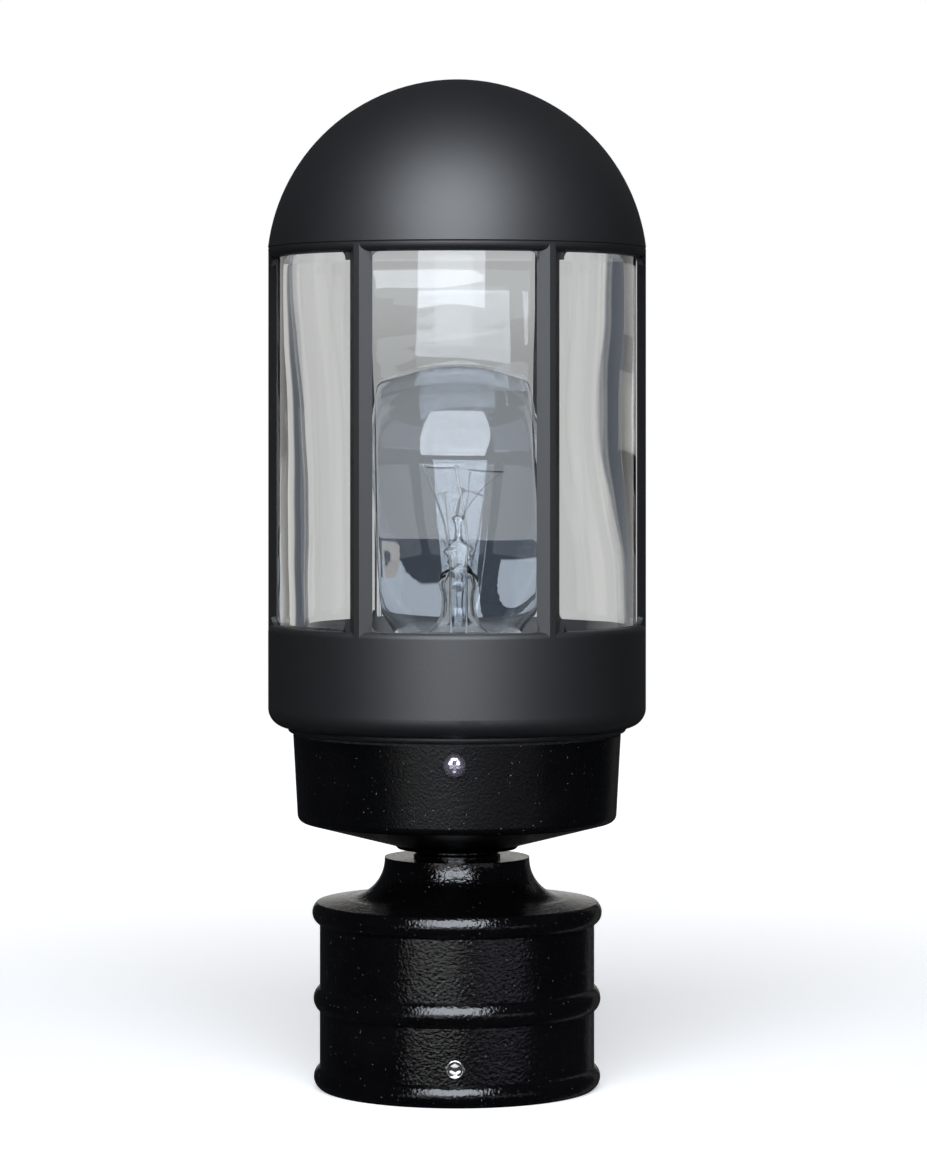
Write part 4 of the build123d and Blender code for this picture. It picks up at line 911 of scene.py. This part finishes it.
leads = draw_wire(
    "bulb_nickel_leads",
    LEAD_RADIUS,
    [(-1.6, 0, 146), (-1.9, 0.2, 160), (-1.5, 0, 168), (-2.2, 0, 172), (-2.9, -0.3, 180), (-5.2, -1.2, 190),
     (-7.3, -2.0, 198.0), (-7.7, -2.1, 198.9), (-7.1, -1.9, 199.0), (-7.0, -1.8, 198.2)],
    [(1.6, 0, 146), (1.9, -0.2, 160), (1.4, 0, 168), (2.1, 0, 173), (1.5, 1.2, 181), (0.4, 3.4, 190),
     (-0.8, 5.4, 198.0), (-1.0, 5.7, 198.9), (-0.5, 5.2, 199.0), (-0.3, 5.0, 198.2)],
)
nickel = bright_metal("nickel_wire", (0.50, 0.49, 0.47, 1), 0.28)
leads.data.materials.append(nickel)
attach(leads, "bulb")
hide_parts("lead_wires")

hooks = draw_wire(
    "bulb_filament_hooks",
    HOOK_RADIUS,
    [(0.5, 0.3, 181.6), (1.6, 1.2, 184), (2.0, 3.0, 190),
     (2.1, 4.6, 196.0), (2.2, 5.0, 197.0), (2.5, 4.8, 196.4)],
    [(0.6, -0.2, 181.6), (1.6, -0.3, 184.5), (5.4, -1.0, 192),
     (9.4, -1.8, 196.4), (9.9, -1.9, 197.3), (10.1, -1.8, 196.7)],
)
molybdenum = bright_metal("molybdenum_wire", (0.34, 0.33, 0.33, 1), 0.32)
hooks.data.materials.append(molybdenum)
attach(hooks, "bulb")
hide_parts("support_wires")

# ---- Bulb: filament ----
# A fine tungsten wire wound to a coil, clamped in the leads' ends and hung over the two hooks in
# shallow bows.
COIL_RADIUS = 0.19
COIL_WIRE = 0.055
COIL_PITCH = 0.25
FILAMENT_ROUTE = [(-7.1, -1.9, 198.3), (-4.2, 1.9, 198.0), (-0.6, 5.2, 198.1), (0.9, 5.3, 197.6)]
FILAMENT_ROUTE += [(2.3, 5.0, 197.4), (6.4, 2.2, 196.9), (9.9, -1.8, 196.8)]
route = smooth_line(FILAMENT_ROUTE, 12)
lengths = [0.0]
for first, second in zip(route, route[1:]):
    lengths.append(lengths[-1] + math.dist(first, second))
bpy.ops.object.select_all(action="DESELECT")
bpy.ops.mesh.primitive_circle_add(
    vertices=6, radius=COIL_WIRE * MM, location=(0, COIL_RADIUS * MM, 0), rotation=(0, math.radians(90), 0)
)
coil = bpy.context.object
coil.name = "bulb_tungsten_coil"
bpy.ops.object.transform_apply()
bpy.ops.object.modifier_add(type="SCREW")
winding = coil.modifiers[-1]
winding.axis = "X"
winding.screw_offset = COIL_PITCH * MM
winding.iterations = int(lengths[-1] / COIL_PITCH)
winding.steps = winding.render_steps = 10
bpy.ops.object.modifier_apply(modifier=winding.name)
for vertex in coil.data.vertices:
    along = min(max(vertex.co.x / MM, 0), lengths[-1] - 0.001)
    span = max(index for index, length in enumerate(lengths[:-1]) if length <= along)
    share = (along - lengths[span]) / (lengths[span + 1] - lengths[span])
    first, second = Vector(route[span]), Vector(route[span + 1])
    ahead = (second - first).normalized()
    side = ahead.cross(Vector((0, 0, 1))).normalized()
    over = side.cross(ahead)
    vertex.co = (first.lerp(second, share) + side * vertex.co.y / MM + over * vertex.co.z / MM) * MM
coil.data.update()
bpy.ops.object.shade_smooth_by_angle(angle=math.radians(60))
tungsten = bright_metal("drawn_tungsten", (0.20, 0.20, 0.21, 1), 0.36)
coil.data.materials.append(tungsten)
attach(coil, "bulb")
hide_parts("filament")

# ---- Bulb: base ----
# Thin nickel plated brass, drawn to a cup and rolled with the same thread as the shell.  The bulb's
# neck is cemented in its plain upper band.
BASE_FOOT = 124.5
BASE_TOP = 145.0
BASE_TURNS_FOOT = 126.4
BASE_TURNS_TOP = 140.6
BASE_RADIUS = 12.66
BASE_THREAD_DEPTH = 0.42
BASE_BAND = 12.95
BASE_BORE = 12.6
BASE_SHEET = 0.02
base_turns = roll_thread("base_turns", BASE_RADIUS, BASE_THREAD_DEPTH, BASE_TURNS_FOOT, BASE_TURNS_TOP)
base_ends = turn_outline(
    "base_ends",
    [(BASE_RADIUS, BASE_TURNS_TOP - 0.05), (12.9, BASE_TURNS_TOP + 0.5), (BASE_BAND, BASE_TURNS_TOP + 1.2),
     (BASE_BAND, BASE_TOP - 0.7), (13.08, BASE_TOP - 0.35), (BASE_BAND, BASE_TOP), (12.7, BASE_TOP - 0.1),
     (BASE_BORE, BASE_TOP - 0.8), (BASE_BORE, BASE_TURNS_TOP - 0.05), (BASE_RADIUS, BASE_TURNS_TOP - 0.05)],
    48,
)
base_foot = turn_outline(
    "base_foot",
    [(BASE_RADIUS, BASE_TURNS_FOOT + 0.05), (BASE_BORE, BASE_FOOT + 1.0), (12.1, BASE_FOOT + 0.3),
     (11.2, BASE_FOOT), (10.9, BASE_FOOT + 0.25), (11.9, BASE_FOOT + 0.6), (12.2, BASE_FOOT + 1.2),
     (12.3, BASE_TURNS_FOOT + 0.05), (BASE_RADIUS, BASE_TURNS_FOOT + 0.05)],
    48,
)
base = join_pieces("rolled_bulb_base", base_turns, base_ends, base_foot)
give_wall(base, BASE_SHEET, -1.0)
base_metal = bright_metal("nickel_plated_brass", (0.68, 0.66, 0.60, 1), 0.18, (1, 1, 10), 0.12)
base.data.materials.append(base_metal)
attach(base, "bulb")
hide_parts("bulb_base")

# ---- Bulb: insulator ----
# Black glass, poured into the foot of the base while hot.  It keeps the tip's contact apart from
# the base, and its face set faintly rippled.
poured_glass, tree, shader, place = new_finish("black_poured_glass")
flow = noise(tree, place, 300, 2.0)
feed(
    tree,
    shader,
    Base_Color=blend_colours(tree, flow, (0.004, 0.004, 0.005, 1), (0.016, 0.015, 0.016, 1)),
    Roughness=0.08 + flow * 0.1,
    Normal=bump(tree, flow, 0.00012),
)
dress("bulb_insulator", poured_glass)

# ---- Bulb: contact ----
# A dab of solder at the base's tip, where one lead comes through the poured glass and is cut off.
# It is lumpy, as it set.
solder, tree, shader, place = new_finish("tip_solder")
lump = noise(tree, place, 520, 2.0)
feed(
    tree,
    shader,
    Base_Color=blend_colours(tree, lump, (0.42, 0.42, 0.41, 1), (0.66, 0.66, 0.65, 1)),
    Roughness=0.26 + lump * 0.2,
    Normal=bump(tree, lump, 0.00025),
)
shader.inputs["Metallic"].default_value = 1.0
dress("bulb_contact", solder)

# ---- Gaskets ----
# Three flat rings punched from black rubber sheet: one lies between canopy and cage, and one at
# each end of the glass keeps it off the metal.
rubber, tree, shader, place = new_finish("punched_rubber")
bloom = noise(tree, place, 320, 3.0)
feed(
    tree,
    shader,
    Base_Color=blend_colours(tree, bloom.ramp(0.4, 0.7), (0.010, 0.010, 0.010, 1), (0.022, 0.022, 0.021, 1)),
    Roughness=0.68 + bloom * 0.15,
    Normal=bump(tree, bloom, 0.00003),
)
for gasket in ("canopy_gasket", "lower_glass_gasket", "upper_glass_gasket"):
    dress(gasket, rubber)


# ---- Cage frame ----
# One aluminium casting: skirt, six bars and header, with the spigot that drops into the canopy.
# It is powder coated in satin black after machining.
def satin_black(name):
    """Satin powder coat: very fine grain, with the faint mottle of a baked powder."""
    material, tree, shader, place = new_finish(name)
    grain = noise(tree, place, 2600, 2.0, 0.6)
    mottle = noise(tree, place, 420, 2.0, 0.5)
    cloud = noise(tree, place, 28, 2.0)
    dark, pale = (0.0030, 0.0030, 0.0033, 1), (0.0042, 0.0042, 0.0046, 1)
    feed(
        tree,
        shader,
        Base_Color=blend_colours(tree, cloud.ramp(0.35, 0.65), dark, pale),
        Roughness=0.50 + grain * 0.08,
        Normal=bump(tree, grain + mottle * 0.5, 0.00003),
    )
    shader.inputs["IOR"].default_value = 1.9
    return material


powder_coat = satin_black("satin_powder_coat")
dress("cage_frame", powder_coat)

# ---- Dome cap ----
# A cast aluminium dome, powder coated with the cage.  Its rim stands on the header, a slot behind
# the rim takes the header's neck, and the ring inside holds the glass down.
dress("dome_cap", powder_coat)

# ---- Glass cylinder ----
# A thick cast cylinder, open at both ends, that stands between the two gaskets.  Its outside is
# true, and its bore is as the mould left it, a little wavy, so all behind it looks drawn out.
GLASS_RADIUS = 57.4
GLASS_BORE = 52.8
BORE_FLAT = 47.8
BORE_CURVE = 0.0056
BORE_LEFT = [(267, 53.2), (245, 52.6), (222, 51.2), (196, 50.4), (150, 50.2), (120, 50.2)]
BORE_RIGHT = [(267, 50.8), (245, 50.7), (225, 49.9), (206, 50.0)]
BORE_RIGHT += [(188, 51.6), (170, 53.4), (150, 54.0), (120, 54.0)]
BORE_SET = 0.6
TALL_SWELL = 0.30
ROUND_SWELL = 0.20
SHORT_SWELL = 0.08
RIPPLE = 0.003
MOUTH_FLARE = 0.018
MOUTH_FOOT = 260.5
BACK_DRAFT = -0.024
BACK_DRAFT_FOOT = 225
GLASS_FOOT = 120.2
GLASS_TOP = 267.0
GLASS_EDGE = 0.6
GLASS_RINGS = 84
GLASS_STEPS = 288
FRONT = -90


def hump(angle, centre, width):
    """One smooth swell round the glass, by the angle from its middle in degrees."""
    away = (angle - centre + 180) % 360 - 180
    return math.exp(-((away / width) ** 2))


def bore_side(radii, height):
    """The bore's radius at one side, by a list of heights from the top and their radii."""
    for (high, at_high), (low, at_low) in zip(radii, radii[1:]):
        if height >= low:
            return at_low + (at_high - at_low) * (height - low) / (high - low)
    return radii[-1][1]


bore_left = smooth_line(BORE_LEFT, 6)
bore_right = smooth_line(BORE_RIGHT, 6)


def flat_side(angle, centre, middle, curve):
    """The bore's radius where its wall runs nearly flat, by its distance from the axis."""
    turn = math.radians((angle - centre + 180) % 360 - 180)
    across, along = math.sin(turn), math.cos(turn)
    if along < 0.3:
        return GLASS_RADIUS
    return 2 * middle / (along + math.sqrt(along**2 + 2 * curve * middle * across**2))


def bore_drift(angle, height):
    """How far the bore stands from its true radius, in millimetres."""
    turn = math.radians(angle)
    up = math.tau * height
    lean = -BORE_SET
    lean += (bore_side(bore_left, height) - GLASS_BORE + BORE_SET) * max(0, -math.cos(turn)) ** 1.5
    lean += (bore_side(bore_right, height) - GLASS_BORE + BORE_SET) * max(0, math.cos(turn)) ** 1.5
    thick = min(0, flat_side(angle, FRONT, BORE_FLAT, BORE_CURVE) - GLASS_BORE - lean)
    swell = TALL_SWELL * math.sin(up / 61 + 1.3 + 1.7 * math.sin(turn))
    swell += ROUND_SWELL * math.sin(8 * turn + 0.9 * math.sin(up / 57))
    swell += SHORT_SWELL * math.sin(up / 23 + 3 * math.sin(2 * turn))
    swell *= 0.20 - 0.08 * hump(angle, FRONT, 26)
    ripple = RIPPLE * math.sin(up / 5.5 + 2 * math.sin(2 * turn))
    mouth = MOUTH_FLARE * max(0, height - MOUTH_FOOT) ** 2
    draft = BACK_DRAFT * max(0, height - BACK_DRAFT_FOOT) * hump(angle, -FRONT, 45)
    return lean + thick + swell + ripple + mouth + draft


bore_heights = spread(GLASS_TOP - GLASS_EDGE, GLASS_FOOT + GLASS_EDGE, GLASS_RINGS)
glass_outline = [(GLASS_BORE + GLASS_EDGE, GLASS_FOOT), (GLASS_RADIUS - GLASS_EDGE, GLASS_FOOT)]
glass_outline += [(GLASS_RADIUS, height) for height in reversed(bore_heights)]
glass_outline += [(GLASS_RADIUS - GLASS_EDGE, GLASS_TOP), (GLASS_BORE + GLASS_EDGE, GLASS_TOP)]
glass_outline += [(GLASS_BORE, height) for height in bore_heights]
glass_outline += glass_outline[:1]
glass = turn_outline("wavy_glass_cylinder", glass_outline, GLASS_STEPS)
for vertex in glass.data.vertices:
    x, y, z = vertex.co
    radius = math.hypot(x, y)
    if radius < (GLASS_BORE + GLASS_EDGE + 0.1) * MM:
        drift = bore_drift(math.degrees(math.atan2(y, x)), z / MM) * MM
        vertex.co = (x * (1 + drift / radius), y * (1 + drift / radius), z)
glass.data.update()
cylinder_glass = clear_glass("cast_clear_glass", (0.97, 0.985, 0.995, 1))
glass.data.materials.append(cylinder_glass)
glass.visible_shadow = False
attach(glass, "cage")
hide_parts("glass_cylinder")

# ---- Canopy screws ----
# Three pan head screws with a cross recess, in black nickel plate.  They pass the canopy's rim and
# the slots in the cage's spigot, and bite in the bracket's arms.
CANOPY_SCREW_HEIGHT = 106.8
CANOPY_SCREW_TIP = 42.12
CANOPY_SCREW_LENGTH = 12.66
PAN_RADIUS = 3.6
PAN_HEIGHT = 2.38
CANOPY_SCREW_CREST = 1.98
CANOPY_SCREW_ROOT = 1.62
CANOPY_SCREW_PITCH = 0.8
CROSS_HALF = 0.52
CROSS_REACH = 1.85
CROSS_SINK = 1.9
CROSS_FLOOR_SCALE = 0.8
CROSS_FLOOR_RISE = 0.1
seat = CANOPY_SCREW_LENGTH - PAN_HEIGHT
shank_outline = [(0, 0), (1.2, 0), (CANOPY_SCREW_ROOT, 0.5), (CANOPY_SCREW_ROOT, seat)]
pan_steps = [(0.15, 0), (0, 0.25), (0, 0.7), (0.12, 1.1), (0.45, 1.6), (0.95, 1.98), (1.45, 2.2)]
pan_outline = [(PAN_RADIUS - inset, seat + rise) for inset, rise in pan_steps]
pan = turn_outline("canopy_screw_pan", shank_outline + pan_outline, 36)
w, r = CROSS_HALF, CROSS_REACH
cross = [(w, r), (-w, r), (-w, w), (-r, w), (-r, -w), (-w, -w)]
cross += [(-w, -r), (w, -r), (w, -w), (r, -w), (r, w), (w, w)]
mouth = CANOPY_SCREW_LENGTH - 0.04
pan = cut_socket("canopy_screw_head", pan, cross, mouth, CROSS_SINK, CROSS_FLOOR_SCALE, CROSS_FLOOR_RISE)
thread_root, thread_top = CANOPY_SCREW_ROOT - 0.05, seat - 0.8
pan_thread = wind_thread(
    "canopy_screw_thread", thread_root, CANOPY_SCREW_CREST, CANOPY_SCREW_PITCH, 0.5, thread_top, 28
)
pan_screw = join_pieces("canopy_screw_pattern", pan_thread, pan)
black_nickel = bright_metal("black_nickel_plate", (0.46, 0.42, 0.50, 1), 0.12, metallic=0.84)
pan_screw.data.materials.append(black_nickel)
for number, angle in enumerate(SCREW_ANGLES, start=1):
    name = f"pan_head_canopy_screw_{number}"
    copy = set_round_collar(pan_screw, name, angle, CANOPY_SCREW_TIP, CANOPY_SCREW_HEIGHT)
    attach(copy, f"canopy_screw_{number}")
    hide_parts(f"canopy_screw_{number}")
bpy.data.objects.remove(pan_screw)
